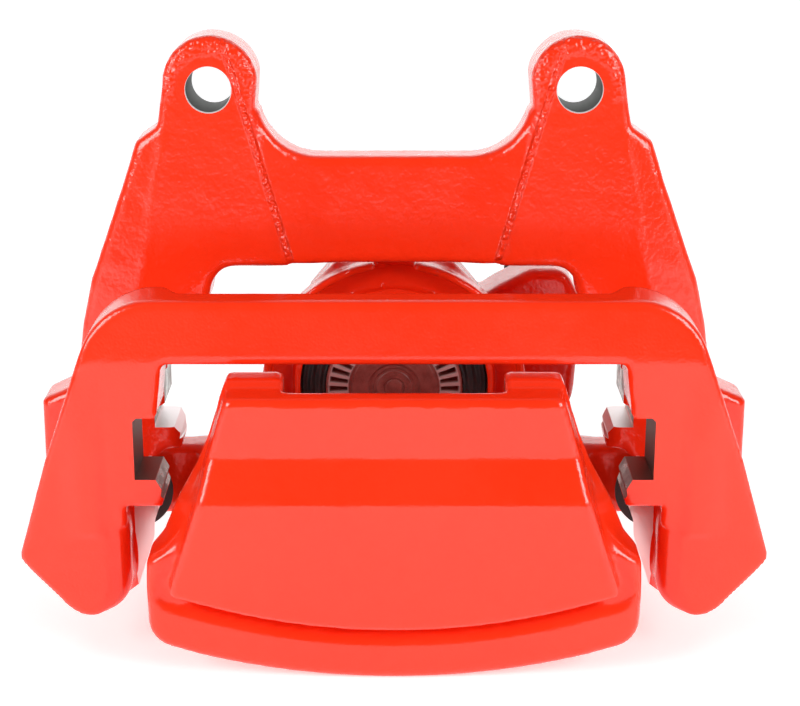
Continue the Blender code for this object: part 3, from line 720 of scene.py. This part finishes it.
def inboard_leg():
    """An ear, its leg and the abutment and pin boss below it."""
    return rounded(arc((50.2, 97.8), 13.0, 172, 2, 24) + [
        (64.4, 90.0), (65.2, 86.0, 1.5), (71.2, 81.8, 1.5), (74.7, 71.2), (78.8, 59.9),
        (83.0, 48.4), (85.2, 42.6), (86.6, 36.8), (88.0, 30.9), (88.9, 25.0), (90.0, 18.0),
        (91.4, 11.2, 1.0), (101.3, 6.6, 1.5), (101.3, -13.0), (99.2, -21.0, 3.0), (84.0, -38.0, 5.0),
        (72.0, -34.0, 2.0), (71.0, -16.0), (71.4, -8.0), (61.4, -8.0), (60.9, -2.8), (60.9, 2.0),
        (64.6, 8.0), (64.6, 18.2), (52.2, 36.6, 5.0), (50.4, 47.3, 8.0), (30.3, 47.3),
        (32.2, 59.0), (34.8, 69.5), (37.3, 81.0), (38.2, 90.0),
    ])


def crossbar():
    """The web between the ears with its concave corners: half of the outline, past the middle."""
    corner = arc((20.6, 94.4), 17.0, -90, -14, 14)
    return [(FAR, 77.4)] + corner + [(50.6, 90.0), (50.6, 47.3), (FAR, 47.3)]


def disc_crossing():
    """The part of a leg that passes below the disc, beside the guide pin's boss."""
    return rounded([
        (68.6, -6.0), (90.0, 5.0), (99.4, -20.6, 4.0), (80.0, -41.6, 9.0), (68.6, -35.0, 2.0),
    ])


def outboard_legs(side, y, z):
    """The tie bar leans back above the legs, a soft pad stands out of each leg, and the front
    corner of each leg's inner lower edge is drawn in as a quarter circle."""
    lean = 0.11 * np.maximum(z - 32.6, 0)
    pad = ramp(side, 76.0, 79.0) * ramp(-side, -90.0, -82.0)
    pad = 1.2 * pad * ramp(-z, -30.0, -2.0) * ramp(z, -17.5, -14.5)
    back = 18.0 - 7.0 * ramp(-side, -62.0, -56.0) * ramp(z, 20.0, 26.0)
    nose = np.clip((5.0 - y) / 5.0, 0, 1)
    drawn = 5.0 * (1 - np.sqrt(1 - nose ** 2)) * ramp(-z, 13.0, 15.0) * ramp(-side, -82.0, -76.0)
    legs = outline_distance(outboard_frame(), side, z) + drawn
    return meet(legs, between(y, lean - pad, back), 1.3)


def inboard_legs(side, y, z):
    """Each leg slopes back outside the ridge that runs down from its ear, a thin rib marks its
    inner edge, and the web between the legs is hollowed."""
    ridge = 62.4 + 0.193 * np.maximum(86.3 - z, 0)
    slope = 0.14 * np.maximum(side - ridge, 0) * ramp(-z, -88.0, -82.0)
    wedge = 42.0 + 0.04 * np.maximum(z - 47.3, 0) + np.minimum(slope, 7.0)
    crest = 0.45 * np.exp(-((side - ridge) / 1.3) ** 2)
    crest = crest * ramp(-z, -86.0, -78.0) * ramp(z, 14.0, 30.0)
    inner = RIB_FOOT + RIB_LEAN * z
    rib = 0.45 * np.exp(-((side - inner - RIB_OFFSET) / 1.0) ** 2)
    rib = rib * ramp(z, 46.0, 50.0) * ramp(-z, -104.0, -92.0)
    boss = 1.4 * ramp(-np.hypot(side - HOLE_X, z - HOLE_Z), -15.5, -14.0)
    corner = 2.2 + 2.6 * ramp(-side, -68.0, -63.0) * ramp(-z, -14.0, -8.0)
    leg = outline_distance(inboard_leg(), side, z)
    leg = meet(leg, between(y, wedge - crest - rib, 61.2 + boss), corner)
    hollow = 43.4 + 1.6 * ramp(-side, -inner, -inner + 14.0) + 0.04 * (z - 47.3)
    web = meet(outline_distance(crossbar(), side, z), between(y, hollow, 58.0), 2.0)
    return join(leg, web, 1.5)


def bracket_field(x, y, z):
    """The bracket as cast: both pairs of legs, joined past the disc's edge by the pin bosses and
    the crossings below it, with the disc's room taken out."""
    side = np.abs(x)
    pin = np.hypot(side - PIN_X, z - PIN_Z) - PIN_BOSS_R
    sleeve = meet(np.maximum(pin, 68.6 - side), between(y, 12.0, PIN_BOSS_Y1 + 1.0), 1.2)
    crossing = meet(outline_distance(disc_crossing(), side, z), between(y, 13.0, 48.0), 1.0)
    lower = join(sleeve, crossing, 2.5)
    body = join(join(outboard_legs(side, y, z), inboard_legs(side, y, z)), lower, 3.0)
    disc = DISC_CLEAR_R - np.hypot(x, z - DISC_AXIS_Z)
    return remove(body, np.maximum(-disc, between(y, *DISC_GAP)), 1.0)


def bracket_tools():
    """The milled and drilled shapes: pad slots, guide flats, boot seats, mounting holes with
    their spot faces, and pin bores."""
    outboard_slot = [
        (54, 18.4), (62.2, 18.4), (62.9, 17.2), (67.6, 17.2), (68.6, 16.2), (68.6, 0), (63.1, 0),
        (61.6, -2.8), (61.9, -4.6), (61.3, -5.8), (54, -6.8),
    ]
    inboard_slot = [
        (54, 17.0), (65.6, 17.0), (65.6, 6.8), (68.6, 5.2), (68.6, -0.4), (63.1, -0.4),
        (61.6, -2.8), (61.9, -4.6), (54, -4.6),
    ]
    flat = [(62, -9), (70.8, -9), (70.8, -48), (62, -48)]
    seat = [(62, -8.5), (108, -8.5), (108, -60), (62, -60)]
    tools = []
    for outline, y0, y1 in ((outboard_slot, -4, 22), (inboard_slot, 38, 66), (flat, 11, 57.4),
                            (seat, PIN_BOSS_Y1, 68)):
        tools += [prism("tool", half, y0, y1) for half in both_sides(outline)]
    mouth, bore, rear, spot = HOLE_R + 0.9, HOLE_R + 0.1, HOLE_R + 1.0, 15.5
    hole = [(0, 30), (mouth, 30), (mouth, 42.4), (bore, 44.4), (bore, 60.9), (rear, 62.0),
            (spot, 62.0), (spot, 70), (0, 70)]
    pin_end = PIN_BOSS_Y1 + 3.0
    pin_bore = [(0, 19.0), (PIN_BORE_R, 19.0), (PIN_BORE_R, pin_end), (0, pin_end)]
    for side in (-1, 1):
        tools.append(from_rows("tool", hole, (side * HOLE_X, 0, HOLE_Z)))
        tools.append(from_rows("tool", pin_bore, (side * PIN_X, 0, PIN_Z)))
    return tools


cast("carrier_casting", "carrier", "carrier_bracket", 4, ((-106, -4, -48), (106, 67, 114)),
     bracket_field, (0.03, 0.12, 22.0, 38.0), bracket_tools)


# ---- caliper housing ----
def rim():
    """The outer wall with its two fingers: half of the outline, past the middle."""
    bottom = arc((0, 152.0), 204.2, -75.4, -96, 12)
    return rounded([
        (FAR, 29.6), (43.4, 29.6, 2.0), (48.6, 13.0), (51.8, 5.2, 6.0), (57.6, -5.4),
        (61.2, -14.0, 2.0), (65.0, -18.4, 3.0), (65.2, -27.6), (64.9, -41.4, 8.0),
    ] + [(u, v) for u, v in bottom if u < 52.0])


def panel():
    """The raised front panel: half of the outline, past the middle."""
    bottom = arc((0, 141.6), 178.0, -73.4, -96, 12)
    return rounded([
        (FAR, 27.4), (43.2, 27.4, 2.2), (47.9, 11.7), (50.9, 1.6), (54.7, -10.3), (58.8, -23.0),
        (59.3, -26.6, 2.2),
    ] + [(u, v) for u, v in bottom if u < 50.0])


def bridge():
    """The bridge past the disc's edge: a band between two arcs about the disc's axis."""
    axis = (0, DISC_AXIS_Z)
    return arc(axis, 168.6, -97, -70.2, 16) + arc(axis, 184.1, -70.2, -97, 16)


def arms():
    """The two arms to the guide pins: half of the outline, past the middle."""
    end = arc((PIN_X, PIN_Z), LUG_R, 90, -90, 16)
    return [(FAR, PIN_Z + LUG_R)] + end + [(FAR, PIN_Z - LUG_R)]


def finger_pocket():
    """The gap between the fingers: straight above, round below."""
    half_gap, top = 28.6, 40.0
    round_end = arc((0, CYLINDER_Z), half_gap, 0, -96, 18)
    return [(half_gap, top)] + round_end + [(FAR, -23.0), (FAR, top)]


def fluid_boss():
    return rounded([
        (20.0, -8.0), (54.5, -8.0, 6.0), (57.0, 26.0, 4.0), (51.5, 36.6, 6.0), (41.0, 36.6, 5.0),
        (31.0, 31.5), (20.0, 24.0),
    ])


def cylinder_profile():
    """Half of the cylinder's outline from its mouth to its closed end, as (radius, along)."""
    return rounded([
        (-9.0, CYLINDER_Y0), (39.0, CYLINDER_Y0), (38.8, 67.0, 1.5), (35.6, 70.5), (34.0, 80.0),
        (32.6, 98.0, 8.0), (27.0, 110.5, 6.0), (19.0, 113.4), (15.0, REAR_Y), (-9.0, REAR_Y),
    ])


def outer_wall(side, y, z):
    """The wall outside the disc with its raised panel.  Round the panel the wall swells towards
    the bottom, falls back along the flanks and at the finger tips, dips under the panel's lower
    edge, and carries a few short folds at the shoulders."""
    raised = outline_distance(panel(), side, z)
    below = ramp(-z, 18.0, 26.0)
    bulge = 2.2 * ramp(-z, 4.0, 18.0) + 1.2 * ramp(raised, 2.6, 6.4) * below
    groove = 3.8 * ramp(-raised, -3.0, -1.8) * below * ramp(-side, -56.0, -50.0)
    flank = 0.46 * np.clip(raised - 0.8, 0, 8) * ramp(z, -18.0, -10.0)
    recess = 3.2 * ramp(z, -16.0, 26.0)
    folds = 0.3 * np.cos(2 * math.pi * (0.57 * side + 0.82 * z) / 3.1)
    folds = folds * ramp(side, 57.0, 58.5) * ramp(-side, -64.0, -61.5)
    folds = folds * ramp(-z, 15.0, 17.0) * ramp(z, -27.5, -25.5)
    drawn = 0.42 * np.clip(-y, 0, 14) * ramp(z, -20.0, -8.0) * ramp(-z, -24.0, -14.0)
    edge = 3.0 - 1.9 * ramp(z, -17.0, -10.0)
    front = -9.4 - bulge + groove + flank + recess + folds
    wall = meet(outline_distance(rim(), side, z) + drawn, between(y, front, 2.8), edge)
    panel_front = -14.0 - 4.0 * np.clip((11.0 - z) / 11.0, 0, 1)
    plate = meet(raised + 0.12 * (-y - 10.0), between(y, panel_front, -4.0), 1.3)
    pocket = meet(outline_distance(finger_pocket(), side, z), between(y, -8.0, 12.0), 2.0)
    return remove(join(wall, plate, 1.0), pocket, 1.6)


def bridge_span(side, y, z):
    """The bridge, with a shallow hollow on each side of its outside face."""
    span = meet(outline_distance(bridge(), side, z), between(y, -6.0, 77.0), 4.0)
    edges = rounded([(20, -60), (20, -41.0, 3), (40, -37.5, 3), (44, -60)])
    channel = meet(outline_distance(edges, side, z), between(y, 14.0, 46.0), 3.0)
    return remove(span, channel, 2.0)


def cylinder(x, y, z):
    """The cylinder with a shoulder on top, a stepped trough round its mouth and a notch above."""
    side = np.abs(x)
    reach = np.hypot(x, z - CYLINDER_Z)
    barrel = turned_distance(cylinder_profile(), reach, y)
    top = rounded([(FAR, 42.6), (17.2, 42.6, 1.0), (26.0, 32.0), (FAR, 32.0)])
    shoulder = meet(outline_distance(top, side, z), between(y, 65.0, 80.0), 1.6)
    outer = np.maximum(between(reach, 29.7, 36.6), between(y, 50.0, 65.0))
    inner = np.maximum(between(reach, 25.0, 30.5), between(y, 50.0, 61.8))
    barrel = remove(join(barrel, shoulder, 2.0), np.minimum(outer, inner), 0.8)
    notch = meet(meet(side - 5.5, 41.2 - z, 0.6), between(y, 50.0, 63.0), 0.6)
    return remove(barrel, notch, 0.8)


def housing_field(x, y, z):
    """The housing as cast, with fillets where its parts join."""
    side = np.abs(x)
    front_half = join(outer_wall(side, y, z), bridge_span(side, y, z), 4.0)
    lugs = meet(outline_distance(arms(), side, z), between(y, LUG_Y0, LUG_Y1), 2.4)
    boss = meet(outline_distance(fluid_boss(), x, z), between(y, 78.0, 97.0), 2.6)
    back_half = join(join(cylinder(x, y, z), lugs, 6.0), boss, 4.0)
    return join(front_half, back_half, 6.0)


def housing_tools():
    """The stepped bore with its seal groove, the finger faces, the lugs' holes and spot faces,
    and the bleeder and inlet holes."""
    bore = [(0, 50), (BOOT_SEAT_R, 50), (BOOT_SEAT_R, 64.0), (BORE_R, 64.0), (BORE_R, 73.0),
            (GROOVE_R, 73.0), (GROOVE_R, 76.2), (BORE_R, 76.2), (BORE_R, 104.0), (0, 104.0)]
    faces = [(-46, 40), (46, 40), (46, -14), (-46, -14)]
    front, back = LUG_Y0 + SPOT_DEPTH, LUG_Y1 - SPOT_DEPTH
    lug = [(0, 60), (SPOT_FACE_R, 60), (SPOT_FACE_R, front), (LUG_HOLE_R, front),
           (LUG_HOLE_R, back), (SPOT_FACE_R, back), (SPOT_FACE_R, 82), (0, 82)]
    bleeder = [(0, -14), (1.9, -13), (4.3, -10), (4.3, 0.7), (7.2, 0.7), (7.2, 20), (0, 20)]
    inlet = [(0, -12), (5.0, -12), (5.0, -0.8), (5.8, 0.0), (9.5, 0.0), (9.5, 12), (0, 12)]
    tools = [from_rows("tool", bore, (0, 0, CYLINDER_Z), sides=96), prism("tool", faces, 2.0, 6.0)]
    tools += [from_rows("tool", lug, (side * PIN_X, 0, PIN_Z)) for side in (-1, 1)]
    tools.append(from_rows("tool", bleeder, BLEEDER_AT, BLEEDER_AXIS))
    tools.append(from_rows("tool", inlet, INLET_AT, INLET_AXIS))
    return tools


cast("caliper_casting", "caliper", "caliper_housing", 9, ((-94, -21, -57), (94, 118, 48)),
     housing_field, (0.02, 0.09, 4.0, 20.0), housing_tools)


# ---- guide pins, bush, boots and bolts ----
def hexagon(across, angle):
    """The radius of a hexagon at each angle: half its width over flats / cos(angle from the
    nearest flat)."""
    sector = math.pi / 3
    return across / 2 / np.cos((angle + sector / 2) % sector - sector / 2)


def guide_pin(name, side, neck):
    """A ground pin with a relieved neck, and a flange that seats against the lug."""
    profile = [
        (0, 24.0), (3.6, 24.0, 0.4), (5.0, 25.2, 0.4), (5.0, 26.4, 0.2), (neck, 26.6, 0.2),
        (neck, 35.8, 0.2), (5.0, 36.0, 0.2), (5.0, 61.8, 0.2), (4.2, 62.0, 0.2), (4.2, 63.2, 0.2),
        (8.5, 63.5, 0.5), (8.5, 65.7, 0.4), (0, 65.7),
    ]
    made = lathe(name, profile, (side * PIN_X, 0, PIN_Z), surface=PIN_STEEL)
    fitted(made, "caliper", name)


def pin_bush():
    """The rubber sleeve in the neck of one pin, with four shallow ribs round it."""
    start, end, bore, ribs = 26.8, 35.7, 3.82, 4
    along = np.linspace(start, end, 28)
    outer = 4.72 + 0.24 * np.cos((along - start) * 2 * math.pi * ribs / (end - start)) ** 2
    radii = np.concatenate([[bore], outer, [bore]])
    heights = np.concatenate([[start], along, [end]])
    made = turned("pin_bush_right", radii, heights, (PIN_X, 0, PIN_Z), surface=BLACK_RUBBER)
    fitted(made, "caliper", "pin_bush_right")


def bellows(name, outer, inner, centre, sides=72):
    """A rubber boot with an outer and an inner wall, given as (radii, heights)."""
    radii, along = (np.concatenate([a, b[::-1]]) for a, b in zip(outer, inner))
    made = turned(name, radii, along, centre, surface=BLACK_RUBBER, sides=sides)
    soft(made, 50)
    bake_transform(made)
    stands_for(made, name)


def pin_boot(name, side):
    """A bellows: radius = a mean that narrows towards the pin + a cosine fold."""
    start, span, folds = 58.3, 4.8, 2.5
    along = np.linspace(start, start + span, 49)
    share = (along - start) / span
    outer = 10.3 - 1.5 * share + 1.1 * np.cos(share * 2 * math.pi * folds)
    outer[:6], outer[-5:] = 12.3, 8.8
    inner = np.maximum(outer - 1.1, 5.5)
    inner[:6], inner[-5:] = 8.6, 5.35
    bellows(name, (outer, along), (inner, along), (side * PIN_X, 0, PIN_Z))


def pin_bolt(name, side):
    """A flanged hexagon bolt: each corner of the head is cut back by a 30 degree cone."""
    flats = hexagon(13.0, around(96))
    rows = [(0, 66.0), (3.6, 66.0), (4.0, 66.6), (4.0, 77.3), (8.2, 77.3), (8.6, 77.6),
            (8.6, 78.5), (8.3, 78.85), (7.6, 78.95), (flats, 79.05)]
    rows += [(np.minimum(flats, top), y) for y, top in ((82.9, 9.0), (83.5, 7.4), (83.95, 6.5))]
    rows += [(6.1, 84.25), (4.2, 84.3), (3.9, 83.9), (0, 83.85)]
    made = from_rows(name, rows, (side * PIN_X, 0, PIN_Z), surface=ZINC_STEEL, sides=96)
    fitted(made, "caliper", name)


guide_pin("guide_pin_left", -1, 4.9)
guide_pin("guide_pin_right", 1, 3.5)
pin_bush()
for part_side, part_name in ((-1, "left"), (1, "right")):
    pin_boot(f"pin_boot_{part_name}", part_side)
    pin_bolt(f"pin_bolt_{part_name}", part_side)


# ---- piston, seal and dust boot ----
PISTON_SIDES = 480
POCKETS = 40


def piston():
    """The piston: face height = a ring of radial pockets + turned steps, by radius and angle."""
    r = np.concatenate([np.linspace(0, 12.6, 43), np.linspace(12.8, PISTON_R, 46)])[:, None]
    wave = np.cos(around(PISTON_SIDES)[None, :] * POCKETS)
    pocket = 2.6 * ramp(r, 13.6, 14.1) * ramp(-r, -19.2, -18.7) * ramp(wave, -0.25, 0.2)
    steps = 0.35 * ramp(r, 2.4, 2.6) * ramp(-r, -3.3, -3.1)
    steps = steps + 0.3 * ramp(r, 5.2, 5.4) * ramp(-r, -6.2, -6.0)
    dish = 0.5 * ramp(-r, -7.8, -7.3) + 0.35 * ramp(r, 12.3, 12.6) * ramp(-r, -13.6, -13.3)
    edge = 0.6 * np.maximum(r - 19.7, 0) ** 2 / 0.25
    face = PISTON_FACE_Y + pocket + steps + dish + edge
    wall = np.array([
        (PISTON_R, 60.6), (PISTON_R, 68.0), (PISTON_R, 80.0), (PISTON_R, 100.2), (19.6, 101.0),
        (14.4, 101.0), (14.0, 100.4), (12.4, 72.4), (11.4, 71.5), (0, 71.5),
    ])
    radii = np.repeat(np.vstack([r, wall[:, :1]]), PISTON_SIDES, axis=1)
    along = np.vstack([face, np.repeat(wall[:, 1:], PISTON_SIDES, axis=1)])
    made = turned("piston", radii, along, (0, 0, CYLINDER_Z), surface=PHENOLIC_RESIN, closed=False)
    fitted(made, "piston", "piston")


def piston_seal():
    """The square-section ring, a little crowned on its outside."""
    profile = [(20.5, 73.3), (22.9, 73.3, 0.3), (22.95, 74.6), (22.9, 75.9, 0.3), (20.5, 75.9)]
    made = lathe("piston_seal", profile, (0, 0, CYLINDER_Z), surface=BLACK_RUBBER, sides=96)
    fitted(made, "caliper", "piston_seal")


def piston_boot():
    """A shallow cone of folds between the cylinder's mouth and the piston: it stands further out
    towards the piston all the way."""
    rim_r, neck_r, mouth_y, rubber, folds = 27.5, 20.45, 62.9, 0.75, 3
    radius = np.linspace(rim_r, neck_r, 60)
    share = (rim_r - radius) / (rim_r - neck_r)
    outer = mouth_y - 2.6 * share - 0.32 * np.sin(share * 2 * math.pi * folds)
    bellows("piston_boot", (radius, outer), (radius, outer + rubber), (0, 0, CYLINDER_Z),
            sides=120)


piston()
piston_seal()
piston_boot()


# ---- bleeder, its cap and the inlet plug ----
def bleeder_screw():
    """A cone, a thread, a hexagon and a barbed nipple with a hole down its middle."""
    flats = hexagon(9.0, around(96))
    rows = [(0, -13.0), (1.4, -12.7), (1.7, -12.2), (4.0, -9.6)]
    rows += [(3.9 + 0.1 * (step % 2), -9.3 + 0.5 * step) for step in range(20)]
    rows += [(3.7, 0.9), (4.4, 1.1), (np.minimum(flats, 4.9), 1.3), (flats, 1.6), (flats, 5.7),
             (np.minimum(flats, 4.8), 6.1), (4.2, 6.25), (2.5, 6.3), (2.5, 8.2), (3.2, 9.2),
             (3.2, 10.0), (2.7, 12.0), (2.4, 14.8), (2.1, 15.0), (1.1, 15.0), (1.1, 1.0), (0, 0.8)]
    made = from_rows("bleeder_screw", rows, BLEEDER_AT, BLEEDER_AXIS, ZINC_STEEL, sides=96)
    fitted(made, "bleeder", "bleeder_screw")


def bleeder_cap():
    """A rubber cap with a rolled lip and a grip ring."""
    profile = [
        (3.5, 6.8), (5.3, 6.8, 0.3), (5.3, 8.2, 0.3), (4.8, 8.7, 0.3), (4.7, 12.4, 0.4),
        (5.2, 13.0, 0.3), (5.2, 14.2, 0.3), (4.6, 14.8, 0.4), (4.2, 17.0, 0.6), (0, 17.4),
        (0, 15.3), (3.5, 15.3, 0.2),
    ]
    made = lathe("bleeder_cap", profile, BLEEDER_AT, BLEEDER_AXIS, BLACK_RUBBER)
    fitted(made, "bleeder_cap", "bleeder_cap")


def inlet_plug():
    """A moulded plug: stem with two sealing ribs, flange, and a fluted hollow head to pull it."""
    flute = 0.25 * np.cos(around(96) * 12)
    rows = [(0, -10.0), (4.0, -10.0), (4.6, -8.6), (4.3, -8.2), (4.3, -6.0), (4.7, -5.6),
            (4.3, -5.2), (4.3, -2.0), (4.7, -1.6), (4.7, 0.3), (7.4, 0.3), (7.7, 0.6), (7.7, 1.6),
            (7.4, 1.9), (4.9, 2.2), (4.4 + flute, 2.8), (4.2 + flute, 5.0), (4.0, 5.5), (2.8, 5.5),
            (2.6, 5.2), (2.5, -6.0), (0, -6.0)]
    made = from_rows("inlet_plug", rows, INLET_AT, INLET_AXIS, YELLOW_PLASTIC, sides=96)
    fitted(made, "inlet_plug", "inlet_plug")


bleeder_screw()
bleeder_cap()
inlet_plug()


# ---- floor, backdrop, lights and camera ----
def plain(name, colour, **constants):
    """A material of one colour, with white light of its own if it has a strength."""
    made, _, shader, _ = material(name, **constants)
    shader["Base Color"].default_value = colour
    if "Emission_Strength" in constants:
        shader["Emission Color"].default_value = (1, 1, 1, 1)
    return made


def sweep():
    """A pale floor that curves up far behind: height = bend * (1 - cos angle), then straight."""
    bend, near, bend_start = 0.8, -4.2, 1.2
    angle = np.linspace(0, math.pi / 2, 16)
    flat = np.linspace(near, bend_start, 8)
    run = np.concatenate([flat, bend_start + bend * np.sin(angle), [2.0]])
    rise = np.concatenate([np.zeros(8), bend * (1 - np.cos(angle)), [3.5]])
    points = [(u, v, w) for v, w in zip(run, rise) for u in (-4.0, 4.0)]
    row = np.arange(len(run) - 1)[:, None] * 2
    paint = plain("white sweep", (0.93, 0.93, 0.93, 1), Roughness=0.7, Emission_Strength=0.45)
    floor = raw_mesh("floor", points, np.hstack([row, row + 1, row + 3, row + 2]).tolist(), paint)
    floor.data.shade_smooth()


def surround():
    """A round white wall beyond the sweep, seen only by the camera, so that every view has a pale
    backdrop."""
    radius, sides = 3.9, 64
    x, y = radius * np.cos(around(sides)), radius * np.sin(around(sides))
    points = np.vstack([np.column_stack([x, y, np.full(sides, z)]) for z in (-0.1, 4.0)])
    here = np.arange(sides)
    after = (here + 1) % sides
    faces = np.column_stack([here, here + sides, after + sides, after]).tolist()
    paint = plain("white wall", (0, 0, 0, 1), Roughness=1.0, Emission_Strength=0.85)
    wall = raw_mesh("surround", points, faces, paint)
    wall.visible_diffuse = wall.visible_glossy = wall.visible_shadow = False


def soft_light(name, at, towards, width, height, watts):
    """A rectangular soft box that faces a point."""
    lamp = bpy.data.lights.new(name, "AREA")
    lamp.shape, lamp.size, lamp.size_y, lamp.energy = "RECTANGLE", width, height, watts
    box = in_scene(name, lamp)
    box.location = at
    box.rotation_euler = (Vector(towards) - Vector(at)).to_track_quat("-Z", "Y").to_euler()
    box.visible_camera = False


def flag():
    """A black card behind the camera, seen only in reflections: upright faces mirror the floor
    below it."""
    half, back, top = 0.36, -0.5, 1.2
    points = [(-half, back, 0), (half, back, 0), (half, back, top), (-half, back, top)]
    felt = plain("black felt", (0.02, 0.02, 0.02, 1), Roughness=1.0, Specular_IOR_Level=0.0)
    card = raw_mesh("flag", points, [(0, 1, 2, 3)], felt)
    card.visible_camera = card.visible_diffuse = card.visible_shadow = False


def camera():
    """A long lens that looks down a little at the outboard side."""
    tilt = math.radians(17.3685)
    lens = bpy.data.cameras.new("camera")
    lens.sensor_width, lens.lens, lens.shift_x = 36.0, 81.0, 0.0074
    lens.clip_start = 0.01
    obj = in_scene("camera", lens)
    obj.location = tuple(ORIGIN + np.array([0.0, -0.44427, 0.174147]))
    obj.rotation_euler = (math.pi / 2 - tilt, 0.0, 0.0)
    bpy.context.scene.camera = obj


def world_light(strength):
    sky = bpy.data.worlds.new("studio")
    sky.use_nodes = True
    background = sky.node_tree.nodes["Background"].inputs
    background["Color"].default_value = (1, 1, 1, 1)
    background["Strength"].default_value = strength
    bpy.context.scene.world = sky


sweep()
surround()
camera()
world_light(0.1)
MIDDLE = (0.0, 0.0, 0.08)
soft_light("top", (0.0, 0.25, 0.95), MIDDLE, 1.1, 0.7, 0.3)
soft_light("left", (-0.75, -0.62, 0.48), MIDDLE, 0.5, 0.5, 7.4)
soft_light("right", (0.75, -0.62, 0.48), MIDDLE, 0.5, 0.5, 7.4)
soft_light("behind", (0.0, 1.4, 0.7), (0.0, 2.2, 0.6), 2.4, 1.0, 10.0)
flag()
bpy.context.scene.view_settings.view_transform = "Standard"
